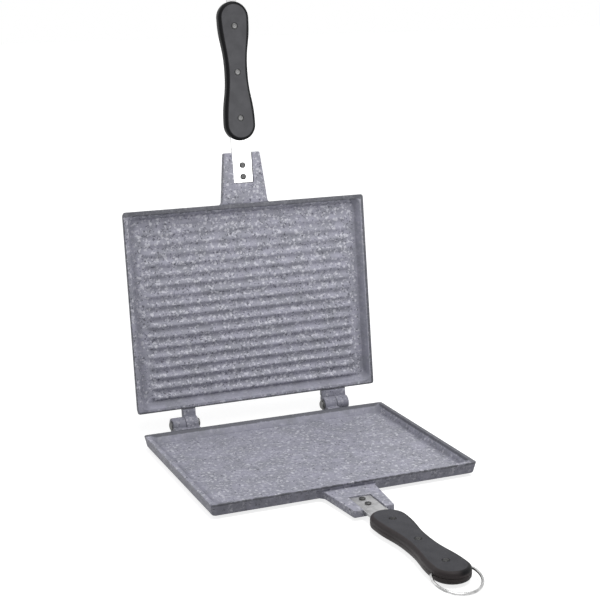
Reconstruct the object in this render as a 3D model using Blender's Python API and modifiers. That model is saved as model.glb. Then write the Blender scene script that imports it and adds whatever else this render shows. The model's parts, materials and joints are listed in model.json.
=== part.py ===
"""A stovetop sandwich toaster: two cast plates hinged at the back, each with a strap riveted into its lug
and a handle of two scales riveted over the strap, and a wire ring that locks the two handles together or
hangs the toaster up.

Metres, +Z up. The origin is on the surface that the toaster stands on, under the middle of the lower plate,
with the hinge towards +Y and the handles towards -Y. At rest the toaster is open, the upper half on its stop.

Each half is modelled in its own frame: X along the hinge, Y towards the back with zero on the hinge axis,
and Z, called the height here, outwards from the plane in which the two rims meet. The upper half's frame is
turned open about the hinge axis, and the lower half's is turned over: both are cast to one pattern.
"""

import math

import bmesh
import bpy
from mathutils import Matrix, Vector

# Clearances and overlaps
GAP = 0.0003  # between two pieces that touch or turn on each other
JOIN_DEPTH = 0.0015  # how far a shape that is joined to another one starts inside it
OVERRUN = 0.002  # how far a cutter runs past the face that it cuts

# Plates
PLATE_WIDTH = 0.243
PLATE_DEPTH = 0.1884
WALL_HEIGHT = 0.011
WALL_DRAFT = 0.0021
PLATE_CORNER = 0.0025
PLATE_ROUND = 0.002
RIM_ROUND = 0.0006
RIM_WIDTH = 0.004
CAVITY_DEPTH = 0.0065
CAVITY_SLOPE = 0.0045
CAVITY_CORNER = 0.006
CAVITY_ROUND = 0.002
FLOOR_THICKNESS = 0.0035

# Raised base under each plate, with a sunk panel round a pad in its middle
BASE_HEIGHT = 0.003
BASE_INSET = 0.009
BASE_DRAFT = 0.001
BASE_CORNER = 0.010
BASE_ROUND = 0.0008
PANEL_MARGIN = 0.022
PANEL_CORNER = 0.008
PANEL_SLOPE = 0.0015
PAD_RADIUS = 0.022

# Ribs on the floor of the upper plate
RIB_PITCH = 0.0096
RIB_WIDTH = 0.0066
RIB_HEIGHT = 0.002
RIB_ROOT = 0.0003
RIB_MARGIN = 0.0006
RIB_END_MARGIN = 0.004

# Hinge
HINGE_SETBACK = 0.01415
HINGE_INSET = 0.0439
HINGE_WIDTH = 0.0248
KNUCKLE_RADIUS = 0.007
ARM_FACE = 0.0005
ARM_OUTER = 0.0066
ROOT_STEP = 0.0004
OPEN_ANGLE = math.radians(97.6)
PIN_RADIUS = 0.0025
PIN_HEAD_RADIUS = 0.0042
PIN_HEAD_HEIGHT = 0.0016
WASHER_RADIUS = 0.0050
WASHER_THICKNESS = 0.0008

# Lug at the front of each plate
LUG_LENGTH = 0.0478
LUG_ROOT_WIDTH = 0.0459
LUG_END_WIDTH = 0.0359
LUG_FACE = 0.0045
LUG_THICKNESS = 0.0063

# Strap that runs from the lug through the handle
STRAP_WIDTH = 0.0194
STRAP_THICKNESS = 0.002
STRAP_HEIGHT = 0.0065
STRAP_SEAT = 0.0287
STRAP_IN_HANDLE = 0.016
TANG_WIDTH = 0.0094
TANG_SHOULDER = 0.006
TAB_LENGTH = 0.0052
TANG_STOP = 0.0130
STRAP_RIVET_FIRST = 0.0121
STRAP_RIVET_PITCH = 0.0109
STRAP_RIVET_COUNT = 2
STRAP_RIVET_RADIUS = 0.0017
STRAP_RIVET_HEAD_RADIUS = 0.0028
STRAP_RIVET_HEAD_HEIGHT = 0.0011

# Handle
HANDLE_GAP = 0.011
HANDLE_LENGTH = 0.1295
HANDLE_END_WIDTH = 0.0302
HANDLE_WAIST_WIDTH = 0.0214
HANDLE_THICKNESS = 0.0100
HANDLE_ROUND = 0.003
WAIST_SHARE = 0.5  # pull of the handle's side curves, as a share of half the waist's length
HANDLE_RIVET_FIRST = 0.0230
HANDLE_RIVET_LAST = 0.0210
HANDLE_RIVET_COUNT = 3
HANDLE_RIVET_RADIUS = 0.0016
HANDLE_RIVET_HEAD_RADIUS = 0.0027
HANDLE_RIVET_HEAD_HEIGHT = 0.0012
HANDLE_RIVET_SINK = 0.0009

# Locking ring
WIRE_RADIUS = 0.0011
RING_SIDE_GAP = 0.0023
RING_TIP_GAP = 0.0113
RING_BEND = 0.0025
RING_TAIL = 0.0046
RING_LIFT = 0.0003

# Roundness
CIRCLE_SIDES = 24
SMALL_SIDES = 16
PAD_SIDES = 40
RIB_SIDES = 12
RIB_END_STEPS = 5
RING_SIDES = 40
CORNER_STEPS = 4
ROUND_STEPS = 2
EDGE_STEPS = 1
CURVE_STEPS = 6
BEND_STEPS = 4
DOME_STEPS = 3
WIRE_STEPS = 2
SHARP_ANGLE = math.radians(35)  # edges sharper than this are not shaded smooth
CIRCLE_SHARE = 0.5523  # handle length of a Bezier quarter circle, as a share of its radius

# Sizes that follow from those above
CLOSING_HEIGHT = WALL_HEIGHT + BASE_HEIGHT
PLATE_MIDDLE = -(HINGE_SETBACK + PLATE_DEPTH / 2)
PLATE_BACK = -HINGE_SETBACK
PLATE_FRONT = PLATE_BACK - PLATE_DEPTH
HINGE_OFFSET = PLATE_WIDTH / 2 - HINGE_INSET
LUG_END = PLATE_FRONT - LUG_LENGTH
LUG_OUTER = LUG_FACE + LUG_THICKNESS
STRAP_START = LUG_END + STRAP_SEAT
HANDLE_BASE = LUG_END - HANDLE_GAP
HANDLE_TIP = HANDLE_BASE - HANDLE_LENGTH
HANDLE_RIVET_PITCH = (HANDLE_LENGTH - HANDLE_RIVET_FIRST - HANDLE_RIVET_LAST) / (HANDLE_RIVET_COUNT - 1)
RING_PIVOT = HANDLE_TIP + HANDLE_END_WIDTH / 2
RING_RADIUS = HANDLE_END_WIDTH / 2 + RING_SIDE_GAP + WIRE_RADIUS
RING_REACH = HANDLE_END_WIDTH / 2 + RING_TIP_GAP + WIRE_RADIUS
RIM_FACE = GAP / 2
FLOOR_FACE = CAVITY_DEPTH + RIM_FACE
WELD_DISTANCE = GAP / 100

PARTS = bpy.data.collections.new("sandwich_toaster")
CUTTERS = bpy.data.collections.new("toaster_cutters")


def clear_scene():
    for old in list(bpy.data.objects):
        bpy.data.objects.remove(old, do_unlink=True)
    bpy.context.scene.collection.children.link(PARTS)
    bpy.context.scene.collection.children.link(CUTTERS)


def finish(name, colour, roughness, metallic):
    material = bpy.data.materials.new(name)
    material.use_nodes = True
    shader = material.node_tree.nodes["Principled BSDF"]
    shader.inputs["Base Color"].default_value = (*colour, 1.0)
    shader.inputs["Roughness"].default_value = roughness
    shader.inputs["Metallic"].default_value = metallic
    return material


def frame(name, location, rotation):
    """An empty that carries a half or the ring: everything on it is placed from the joint's axis."""
    empty = bpy.data.objects.new(name, None)
    PARTS.objects.link(empty)
    empty.location = location
    empty.rotation_euler = rotation
    return empty


def part(name, mesh, carrier, material):
    """A piece of the toaster, shaded smooth apart from its sharp edges."""
    obj = bpy.data.objects.new(name, mesh)
    PARTS.objects.link(obj)
    obj.parent = carrier
    mesh.materials.append(material)
    mesh.shade_smooth()
    mesh.set_sharp_from_angle(angle=SHARP_ANGLE)
    return obj


def cutter(name, mesh, carrier):
    """A shape that is only used by Boolean modifiers."""
    obj = bpy.data.objects.new(name, mesh)
    CUTTERS.objects.link(obj)
    obj.parent = carrier
    obj.hide_render = True
    obj.display_type = "WIRE"
    return obj


def combine(obj, other, operation):
    modifier = obj.modifiers.new(other.name, "BOOLEAN")
    modifier.operation = operation
    modifier.solver = "EXACT"
    modifier.object = other


def join(obj, name, mesh):
    combine(obj, cutter(name, mesh, obj.parent), "UNION")


def cut(obj, name, mesh):
    combine(obj, cutter(name, mesh, obj.parent), "DIFFERENCE")


def keep_within(obj, name, mesh):
    combine(obj, cutter(name, mesh, obj.parent), "INTERSECT")


def mesh_from(bm, name):
    mesh = bpy.data.meshes.new(name)
    bm.to_mesh(mesh)
    bm.free()
    return mesh


def box_mesh(name, low, high):
    bm = bmesh.new()
    bmesh.ops.create_cube(bm, size=1)
    size = Vector(high) - Vector(low)
    middle = (Vector(high) + Vector(low)) / 2
    place = Matrix.Translation(middle) @ Matrix.Diagonal(size).to_4x4()
    bmesh.ops.transform(bm, matrix=place, verts=bm.verts)
    return mesh_from(bm, name)


def round_block_mesh(name, middle, low, high, corner, low_round=0, high_round=0):
    """A block with upright round corners. low and high are (width, depth, height) of its two flat faces."""
    bm = bmesh.new()
    bmesh.ops.create_cube(bm, size=1)
    for vertex in bm.verts:
        width, depth, height = high if vertex.co.z > 0 else low
        vertex.co = Vector((width * vertex.co.x, middle + depth * vertex.co.y, height))
    level = (low[2] + high[2]) / 2
    upright = [edge for edge in bm.edges if (edge.verts[0].co.z > level) != (edge.verts[1].co.z > level)]
    bmesh.ops.bevel(bm, geom=upright, offset=corner, segments=CORNER_STEPS, profile=0.5, affect="EDGES")
    for amount, side in ((low_round, -1), (high_round, 1)):
        if not amount:
            continue
        loop = [edge for edge in bm.edges if all((vertex.co.z - level) * side > 0 for vertex in edge.verts)]
        bmesh.ops.bevel(bm, geom=loop, offset=amount, segments=ROUND_STEPS, profile=0.5, affect="EDGES")
    return mesh_from(bm, name)


def rod_mesh(name, radius, start, end, sides=SMALL_SIDES):
    """A round rod between two points, used for holes and bores."""
    start = Vector(start)
    run = Vector(end) - start
    bm = bmesh.new()
    bmesh.ops.create_cone(bm, cap_ends=True, segments=sides, radius1=radius, radius2=radius, depth=run.length)
    turn = run.to_track_quat("Z", "Y").to_matrix().to_4x4()
    bmesh.ops.transform(bm, matrix=Matrix.Translation(start + run / 2) @ turn, verts=bm.verts)
    return mesh_from(bm, name)


def flat_curve(name, thickness, rounding=0):
    curve = bpy.data.curves.new(name, "CURVE")
    curve.dimensions = "2D"
    curve.fill_mode = "BOTH"
    curve.extrude = thickness / 2 - rounding
    curve.bevel_depth = rounding
    curve.bevel_resolution = EDGE_STEPS
    curve.offset = -rounding
    curve.resolution_u = CURVE_STEPS
    return curve


def curve_mesh(curve, matrix):
    """The welded mesh of a curve, moved into place."""
    holder = bpy.data.objects.new(curve.name, curve)
    CUTTERS.objects.link(holder)
    graph = bpy.context.evaluated_depsgraph_get()
    mesh = bpy.data.meshes.new_from_object(holder.evaluated_get(graph))
    bpy.data.objects.remove(holder)
    bm = bmesh.new()
    bm.from_mesh(mesh)
    bmesh.ops.remove_doubles(bm, verts=bm.verts, dist=WELD_DISTANCE)
    bmesh.ops.recalc_face_normals(bm, faces=bm.faces)
    bm.to_mesh(mesh)
    bm.free()
    mesh.transform(matrix)
    return mesh


def outline_mesh(name, points, thickness, matrix):
    """A flat plate with straight edges between the points, its thickness centred on the matrix's plane."""
    curve = flat_curve(name, thickness)
    spline = curve.splines.new("POLY")
    spline.points.add(len(points) - 1)
    for point, (x, y) in zip(spline.points, points):
        point.co = (x, y, 0, 1)
    spline.use_cyclic_u = True
    return curve_mesh(curve, matrix)


def turned(name, profile, carrier, location, rotation, material, sides=SMALL_SIDES, closed=False):
    """A piece turned about its own Z axis from a profile of (radius, height), outer side downwards."""
    bm = bmesh.new()
    verts = [bm.verts.new((radius, 0, height)) for radius, height in profile]
    for first, second in zip(verts, verts[1:] + verts[:1] if closed else verts[1:]):
        bm.edges.new((first, second))
    obj = part(name, mesh_from(bm, name), carrier, material)
    obj.location = location
    obj.rotation_euler = rotation
    screw = obj.modifiers.new("turn", "SCREW")
    screw.axis = "Z"
    screw.angle = 2 * math.pi
    screw.steps = sides
    screw.render_steps = sides
    screw.use_merge_vertices = True
    screw.merge_threshold = WELD_DISTANCE
    screw.use_smooth_shade = True


def headed_profile(head_radius, head_height, shank_radius, grip):
    """A rivet with a low dome at each end: the grip is the length between the undersides of its heads."""
    angles = [math.pi / 2 * step / DOME_STEPS for step in range(DOME_STEPS + 1)]
    dome = [(head_radius * math.sin(angle), grip / 2 + head_height * math.cos(angle)) for angle in angles]
    upper = dome + [(shank_radius, grip / 2)]
    return upper + [(radius, -height) for radius, height in reversed(upper)]


def cavity_size(height):
    """Width and depth of the cavity at a height, on its sloping wall."""
    inset = RIM_WIDTH + CAVITY_SLOPE * (height - RIM_FACE) / CAVITY_DEPTH
    return PLATE_WIDTH - 2 * inset, PLATE_DEPTH - 2 * inset


def make_plate(name, half, ribbed, material):
    """One cast plate with its raised base, cavity, lug and two hinge ears."""
    outer = (PLATE_WIDTH - 2 * WALL_DRAFT, PLATE_DEPTH - 2 * WALL_DRAFT)
    shell = round_block_mesh(
        name,
        PLATE_MIDDLE,
        (PLATE_WIDTH, PLATE_DEPTH, RIM_FACE),
        (*outer, WALL_HEIGHT),
        PLATE_CORNER,
        RIM_ROUND,
        PLATE_ROUND,
    )
    plate = part(name, shell, half, material)
    add_base(plate, outer)
    opening = (*cavity_size(-OVERRUN), -OVERRUN)
    floor = (*cavity_size(FLOOR_FACE), FLOOR_FACE)
    cavity = round_block_mesh(f"{name}_cavity", PLATE_MIDDLE, opening, floor, CAVITY_CORNER, 0, CAVITY_ROUND)
    cut(plate, f"{name}_cavity", cavity)
    if ribbed:
        join(plate, f"{name}_ribs", ribs_mesh(f"{name}_ribs"))
    add_lug(plate)
    add_ears(plate)


def add_base(plate, outer):
    low = (outer[0] - 2 * BASE_INSET, outer[1] - 2 * BASE_INSET, WALL_HEIGHT - JOIN_DEPTH)
    high = (low[0] - 2 * BASE_DRAFT, low[1] - 2 * BASE_DRAFT, CLOSING_HEIGHT)
    name = f"{plate.name}_base"
    join(plate, name, round_block_mesh(name, PLATE_MIDDLE, low, high, BASE_CORNER, 0, BASE_ROUND))
    width = high[0] - 2 * PANEL_MARGIN
    depth = high[1] - 2 * PANEL_MARGIN
    name = f"{plate.name}_panel"
    bottom = (width - 2 * PANEL_SLOPE, depth - 2 * PANEL_SLOPE, FLOOR_FACE + FLOOR_THICKNESS)
    top = (width, depth, CLOSING_HEIGHT + OVERRUN)
    cut(plate, name, round_block_mesh(name, PLATE_MIDDLE, bottom, top, PANEL_CORNER))
    name = f"{plate.name}_pad"
    start = (0, PLATE_MIDDLE, bottom[2] - JOIN_DEPTH)
    join(plate, name, rod_mesh(name, PAD_RADIUS, start, (0, PLATE_MIDDLE, CLOSING_HEIGHT), PAD_SIDES))


def ribs_mesh(name):
    """Straight half-round ribs along the hinge, with round ends, spread evenly over the cavity's floor."""
    width, depth = cavity_size(FLOOR_FACE)
    count = int((depth - 2 * RIB_MARGIN - RIB_WIDTH) / RIB_PITCH) + 1
    reach = width / 2 - RIB_END_MARGIN - RIB_WIDTH / 2
    bm = bmesh.new()
    for index in range(count):
        rib = bmesh.ops.create_uvsphere(bm, u_segments=RIB_SIDES, v_segments=RIB_END_STEPS, radius=1)["verts"]
        bmesh.ops.rotate(bm, verts=rib, matrix=Matrix.Rotation(math.pi / 2, 3, "Y"))
        row = PLATE_MIDDLE + (index - (count - 1) / 2) * RIB_PITCH
        for vertex in rib:
            x = vertex.co.x * RIB_WIDTH / 2 + math.copysign(reach, vertex.co.x)
            y = row + vertex.co.y * RIB_WIDTH / 2
            vertex.co = Vector((x, y, FLOOR_FACE + RIB_ROOT - vertex.co.z * (RIB_HEIGHT + RIB_ROOT)))
    bmesh.ops.recalc_face_normals(bm, faces=bm.faces)
    return mesh_from(bm, name)


def add_lug(plate):
    """The tapered lug: two cheeks beside a channel, with the channel's floor behind the strap."""
    root = PLATE_FRONT + RIM_WIDTH - GAP
    points = [
        (-LUG_ROOT_WIDTH / 2, root),
        (-LUG_ROOT_WIDTH / 2, PLATE_FRONT),
        (-LUG_END_WIDTH / 2, LUG_END),
        (LUG_END_WIDTH / 2, LUG_END),
        (LUG_ROOT_WIDTH / 2, PLATE_FRONT),
        (LUG_ROOT_WIDTH / 2, root),
    ]
    name = f"{plate.name}_lug"
    middle = Matrix.Translation((0, 0, LUG_FACE + LUG_THICKNESS / 2))
    join(plate, name, outline_mesh(name, points, LUG_THICKNESS, middle))
    side = STRAP_WIDTH / 2 + GAP
    low = (-side, LUG_END - OVERRUN, LUG_FACE - OVERRUN)
    high = (side, STRAP_START + GAP, STRAP_HEIGHT + STRAP_THICKNESS / 2 + GAP)
    cut(plate, f"{plate.name}_channel", box_mesh(f"{plate.name}_channel", low, high))
    for number, place in enumerate(strap_rivet_places(), 1):
        name = f"{plate.name}_rivet_hole_{number}"
        start = (0, place, LUG_FACE - OVERRUN)
        end = (0, place, LUG_OUTER + OVERRUN)
        cut(plate, name, rod_mesh(name, STRAP_RIVET_RADIUS + GAP, start, end))


def strap_rivet_places():
    return [LUG_END + STRAP_RIVET_FIRST + number * STRAP_RIVET_PITCH for number in range(STRAP_RIVET_COUNT)]


def arc(start, end):
    """Points of the knuckle's circle, as (back, height), from one angle to another."""
    steps = math.ceil((end - start) / math.tau * CIRCLE_SIDES)
    angles = [start + (end - start) * step / steps for step in range(steps + 1)]
    return [(KNUCKLE_RADIUS * math.cos(angle), KNUCKLE_RADIUS * math.sin(angle)) for angle in angles]


def ear_outline(has_heel):
    """An ear seen along the hinge, as (back, height): an arm from the wall to a round knuckle on the axis.
    The heel is the square corner that meets the other half's root when the toaster is open."""
    wall = PLATE_BACK - RIM_WIDTH / 2
    near = math.pi - math.asin(ARM_FACE / KNUCKLE_RADIUS)
    far = math.pi - math.asin(ARM_OUTER / KNUCKLE_RADIUS)
    under = 1.5 * math.pi
    heel = [(KNUCKLE_RADIUS, -KNUCKLE_RADIUS)] if has_heel else arc(under, math.tau)[1:-1]
    arm = [(wall, ARM_OUTER), (wall, ARM_FACE)]
    return [*arm, *arc(near, under), *heel, *arc(math.tau, math.tau + far)]


def root_outline():
    """The root beside an ear, as (back, height). Its end is parallel to the other half's open heel."""
    wall = PLATE_BACK - JOIN_DEPTH
    low = ARM_FACE + ROOT_STEP
    high = ARM_OUTER - ROOT_STEP
    reach = KNUCKLE_RADIUS + GAP
    ends = [(height * math.cos(OPEN_ANGLE) - reach) / math.sin(OPEN_ANGLE) for height in (low, high)]
    return [(wall, high), (wall, low), (ends[0], low), (ends[1], high)]


def along_hinge(start, end):
    """Turns an outline drawn as (back, height) to stand across the hinge, between two places along it."""
    turn = Matrix(((0, 0, 1), (1, 0, 0), (0, 1, 0))).to_4x4()
    return Matrix.Translation(((start + end) / 2, 0, 0)) @ turn


def add_ears(plate):
    """Two ears on the same side of their hinges, so that two castings interleave when one is turned over.
    The left one has the heel and the right one the root."""
    start = HINGE_OFFSET - HINGE_WIDTH / 2
    end = HINGE_OFFSET + GAP / 2 + JOIN_DEPTH
    name = f"{plate.name}_root"
    join(plate, name, outline_mesh(name, root_outline(), end - start, along_hinge(start, end)))
    for side, has_heel in ((-1, True), (1, False)):
        middle = side * HINGE_OFFSET
        start = middle + GAP / 2
        end = middle + HINGE_WIDTH / 2
        name = f"{plate.name}_{'heeled' if has_heel else 'round'}_ear"
        join(plate, name, outline_mesh(name, ear_outline(has_heel), end - start, along_hinge(start, end)))
    reach = HINGE_OFFSET + HINGE_WIDTH / 2 + OVERRUN
    name = f"{plate.name}_pin_hole"
    cut(plate, name, rod_mesh(name, PIN_RADIUS + GAP, (-reach, 0, 0), (reach, 0, 0), CIRCLE_SIDES))


def handle_rivet_places():
    first = HANDLE_TIP + HANDLE_RIVET_FIRST
    return [first + number * HANDLE_RIVET_PITCH for number in range(HANDLE_RIVET_COUNT)]


def strap_outline(end, clearance):
    """The strap from above: wide from its seat in the lug into the handle, then a narrow tang."""
    wide = STRAP_WIDTH / 2 + clearance
    narrow = TANG_WIDTH / 2 + clearance
    start = STRAP_START + clearance
    wide_end = HANDLE_BASE - STRAP_IN_HANDLE - clearance
    narrow_start = wide_end - TANG_SHOULDER
    side = [(wide, start), (wide, wide_end), (narrow, narrow_start), (narrow, end - clearance)]
    return side + [(-x, y) for x, y in reversed(side)]


def make_strap(name, half, end, material):
    strap_middle = Matrix.Translation((0, 0, STRAP_HEIGHT))
    shape = outline_mesh(name, strap_outline(end, 0), STRAP_THICKNESS, strap_middle)
    strap = part(name, shape, half, material)
    holes = [(place, STRAP_RIVET_RADIUS) for place in strap_rivet_places()]
    holes += [(place, HANDLE_RIVET_RADIUS) for place in handle_rivet_places()]
    for number, (place, radius) in enumerate(holes, 1):
        hole = f"{name}_hole_{number}"
        low = (0, place, STRAP_HEIGHT - STRAP_THICKNESS / 2 - OVERRUN)
        high = (0, place, STRAP_HEIGHT + STRAP_THICKNESS / 2 + OVERRUN)
        cut(strap, hole, rod_mesh(hole, radius + GAP, low, high))


def handle_mesh(name):
    """The whole handle: a waisted bar with round ends and rounded edges."""
    end = HANDLE_END_WIDTH / 2
    waist = HANDLE_WAIST_WIDTH / 2
    pull = end * CIRCLE_SHARE
    middle = (HANDLE_BASE + HANDLE_TIP) / 2
    swell = (HANDLE_LENGTH / 2 - end) * WAIST_SHARE
    tip_middle = HANDLE_TIP + end
    base_middle = HANDLE_BASE - end
    right = [
        ((end, tip_middle), (0, -pull), (0, swell)),
        ((waist, middle), (0, -swell), (0, swell)),
        ((end, base_middle), (0, -swell), (0, pull)),
    ]
    left = [((-x, y), after, before) for (x, y), before, after in reversed(right)]
    tip = ((0, HANDLE_TIP), (-pull, 0), (pull, 0))
    base = ((0, HANDLE_BASE), (pull, 0), (-pull, 0))
    knots = [tip, *right, base, *left]
    curve = flat_curve(name, HANDLE_THICKNESS, HANDLE_ROUND)
    spline = curve.splines.new("BEZIER")
    spline.bezier_points.add(len(knots) - 1)
    for point, (place, before, after) in zip(spline.bezier_points, knots):
        point.co = (*place, 0)
        point.handle_left = (place[0] + before[0], place[1] + before[1], 0)
        point.handle_right = (place[0] + after[0], place[1] + after[1], 0)
    spline.use_cyclic_u = True
    return curve_mesh(curve, Matrix.Translation((0, 0, STRAP_HEIGHT)))


def make_scale(name, half, face, strap_end, holds_ring, material):
    """One of a handle's two scales. face is -1 for the inner one and 1 for the outer one."""
    scale = part(name, handle_mesh(name), half, material)
    wide = HANDLE_END_WIDTH / 2 + OVERRUN
    parting = STRAP_HEIGHT + face * GAP / 2
    beyond = STRAP_HEIGHT + face * (HANDLE_THICKNESS / 2 + OVERRUN)
    low = (-wide, HANDLE_TIP - OVERRUN, min(parting, beyond))
    high = (wide, HANDLE_BASE + OVERRUN, max(parting, beyond))
    keep_within(scale, f"{name}_half", box_mesh(f"{name}_half", low, high))
    pocket = outline_mesh(
        f"{name}_pocket",
        strap_outline(strap_end, GAP),
        STRAP_THICKNESS + 2 * GAP,
        Matrix.Translation((0, 0, STRAP_HEIGHT)),
    )
    cut(scale, f"{name}_pocket", pocket)
    sunk = STRAP_HEIGHT + face * (HANDLE_THICKNESS / 2 - HANDLE_RIVET_SINK)
    for number, place in enumerate(handle_rivet_places(), 1):
        hole = f"{name}_hole_{number}"
        start = (0, place, STRAP_HEIGHT)
        cut(scale, hole, rod_mesh(hole, HANDLE_RIVET_RADIUS + GAP, start, (0, place, beyond)))
        seat = f"{name}_seat_{number}"
        bore = rod_mesh(seat, HANDLE_RIVET_HEAD_RADIUS + GAP, (0, place, sunk), (0, place, beyond))
        cut(scale, seat, bore)
    if holds_ring:
        for side in (-1, 1):
            groove = f"{name}_ring_groove_{'left' if side < 0 else 'right'}"
            inner = (side * (ring_tail_end() - GAP), RING_PIVOT, STRAP_HEIGHT)
            outer = (side * wide, RING_PIVOT, STRAP_HEIGHT)
            cut(scale, groove, rod_mesh(groove, WIRE_RADIUS + GAP, inner, outer))


def make_rivets(prefix, half, material):
    """Two rivets through the strap and the lug's floor, and three through the handle."""
    strap_face = STRAP_HEIGHT - STRAP_THICKNESS / 2
    for number, place in enumerate(strap_rivet_places(), 1):
        profile = headed_profile(
            STRAP_RIVET_HEAD_RADIUS,
            STRAP_RIVET_HEAD_HEIGHT,
            STRAP_RIVET_RADIUS,
            LUG_OUTER - strap_face + 2 * GAP,
        )
        middle = (0, place, (LUG_OUTER + strap_face) / 2)
        turned(f"{prefix}_strap_rivet_{number}", profile, half, middle, (0, 0, 0), material)
    for number, place in enumerate(handle_rivet_places(), 1):
        profile = headed_profile(
            HANDLE_RIVET_HEAD_RADIUS,
            HANDLE_RIVET_HEAD_HEIGHT,
            HANDLE_RIVET_RADIUS,
            HANDLE_THICKNESS - 2 * HANDLE_RIVET_SINK + 2 * GAP,
        )
        middle = (0, place, STRAP_HEIGHT)
        turned(f"{prefix}_handle_rivet_{number}", profile, half, middle, (0, 0, 0), material)


def make_hinge_pins(half, material):
    """A pin through each hinge, headed at both ends, with a washer under its inboard head. They stay with the
    lower half, which is turned over, so that its left is the toaster's right."""
    across = (0, math.pi / 2, 0)
    grip = HINGE_WIDTH + 3 * GAP + WASHER_THICKNESS
    profile = headed_profile(PIN_HEAD_RADIUS, PIN_HEAD_HEIGHT, PIN_RADIUS, grip)
    bore = PIN_RADIUS + GAP
    top = WASHER_THICKNESS / 2
    ring = [(WASHER_RADIUS, top), (WASHER_RADIUS, -top), (bore, -top), (bore, top)]
    for side, word in ((1, "left"), (-1, "right")):
        middle = side * (HINGE_OFFSET - (GAP + WASHER_THICKNESS) / 2)
        turned(f"hinge_pin_{word}", profile, half, (middle, 0, 0), across, material, CIRCLE_SIDES)
        seat = side * (HINGE_OFFSET - HINGE_WIDTH / 2 - GAP - WASHER_THICKNESS / 2)
        name = f"hinge_washer_{word}"
        turned(name, ring, half, (seat, 0, 0), across, material, CIRCLE_SIDES, closed=True)


def ring_tail_end():
    """How far from the middle the ring's ends stop, inside the handle."""
    return HANDLE_END_WIDTH / 2 - RING_TAIL


def ring_route():
    """The ring's wire in its own plane, pivot at zero and hanging towards -Y: straight ends on the pivot's
    line, turned through a short bend into a wide loop."""
    drop = RING_REACH - RING_RADIUS
    corner = math.sqrt(RING_RADIUS**2 - drop**2)
    start_angle = math.asin(drop / RING_RADIUS)
    turn = math.acos(drop / RING_RADIUS)
    trim = RING_BEND * math.tan(turn / 2)
    loop_angle = start_angle - trim / RING_RADIUS
    sweep = math.pi + 2 * loop_angle
    loop = []
    for step in range(RING_SIDES // 2 + 1):
        angle = loop_angle - sweep * step / RING_SIDES
        loop.append(Vector((RING_RADIUS * math.cos(angle), RING_RADIUS * math.sin(angle) - drop)))
    first = Vector((corner - trim, 0))
    knee = Vector((corner, 0))
    bend = []
    for step in range(BEND_STEPS):
        t = step / BEND_STEPS
        bend.append(first * (1 - t) ** 2 + knee * 2 * t * (1 - t) + loop[0] * t**2)
    right = [Vector((ring_tail_end(), 0)), *bend, *loop]
    return right + [Vector((-point.x, point.y)) for point in reversed(right[:-1])]


def make_ring(carrier, material):
    curve = bpy.data.curves.new("locking_ring", "CURVE")
    curve.dimensions = "3D"
    curve.bevel_depth = WIRE_RADIUS
    curve.bevel_resolution = WIRE_STEPS
    curve.use_fill_caps = True
    route = ring_route()
    spline = curve.splines.new("POLY")
    spline.points.add(len(route) - 1)
    for point, place in zip(spline.points, route):
        point.co = (place.x, place.y, 0, 1)
    curve.materials.append(material)
    ring = bpy.data.objects.new("locking_ring", curve)
    PARTS.objects.link(ring)
    ring.parent = carrier


def make_half(prefix, half, ribbed, strap_end, holds_ring, coating, plastic, steel):
    make_plate(f"{prefix}_plate", half, ribbed, coating)
    make_strap(f"{prefix}_strap", half, strap_end, steel)
    for word, face in (("inner", -1), ("outer", 1)):
        make_scale(f"{prefix}_handle_{word}", half, face, strap_end, holds_ring, plastic)
    make_rivets(prefix, half, steel)


def main():
    clear_scene()
    coating = finish("granite_coating", (0.235, 0.235, 0.285), 0.5, 0.0)
    plastic = finish("black_bakelite", (0.025, 0.025, 0.028), 0.4, 0.0)
    steel = finish("bright_steel", (0.72, 0.72, 0.74), 0.25, 1.0)
    axis = (0, -PLATE_MIDDLE, CLOSING_HEIGHT)
    lower = frame("lower_half", axis, (0, math.pi, 0))
    upper = frame("upper_half", axis, (-OPEN_ANGLE, 0, 0))
    make_half("lower", lower, False, HANDLE_TIP + TANG_STOP, True, coating, plastic, steel)
    make_half("upper", upper, True, HANDLE_TIP - TAB_LENGTH, False, coating, plastic, steel)
    make_hinge_pins(lower, steel)
    pivot = (0, RING_PIVOT - PLATE_MIDDLE, CLOSING_HEIGHT - STRAP_HEIGHT)
    droop = math.asin((pivot[2] - WIRE_RADIUS - RING_LIFT) / RING_REACH)
    make_ring(frame("ring_pivot", pivot, (droop, 0, 0)), steel)


main()
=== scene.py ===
# %% [markdown]
# An open stovetop sandwich toaster: two cast plates hinged at the back, steel straps and moulded handles
# riveted to them, and a wire ring that locks the handles together. The packed model is the frame that says
# where everything is. Each cell below dresses one piece of it, and prints what it made.

# %% Load the frame
import json
import math

import bmesh
import bpy
from mathutils import Matrix, Vector


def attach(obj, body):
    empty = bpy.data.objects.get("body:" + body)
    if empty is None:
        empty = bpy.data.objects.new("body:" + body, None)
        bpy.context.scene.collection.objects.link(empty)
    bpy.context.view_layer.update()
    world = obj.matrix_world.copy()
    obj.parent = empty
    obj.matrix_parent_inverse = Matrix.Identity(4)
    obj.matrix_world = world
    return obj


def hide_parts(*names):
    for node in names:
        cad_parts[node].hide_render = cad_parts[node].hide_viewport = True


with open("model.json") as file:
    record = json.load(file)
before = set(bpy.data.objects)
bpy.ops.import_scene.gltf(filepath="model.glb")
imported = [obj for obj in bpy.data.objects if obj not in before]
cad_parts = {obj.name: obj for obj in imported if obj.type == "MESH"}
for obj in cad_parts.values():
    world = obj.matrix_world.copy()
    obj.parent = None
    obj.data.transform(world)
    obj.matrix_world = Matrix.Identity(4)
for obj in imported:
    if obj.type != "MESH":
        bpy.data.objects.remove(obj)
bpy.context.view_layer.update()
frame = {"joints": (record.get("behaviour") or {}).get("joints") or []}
lid_hinge, ring_swing = frame["joints"]

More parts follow.
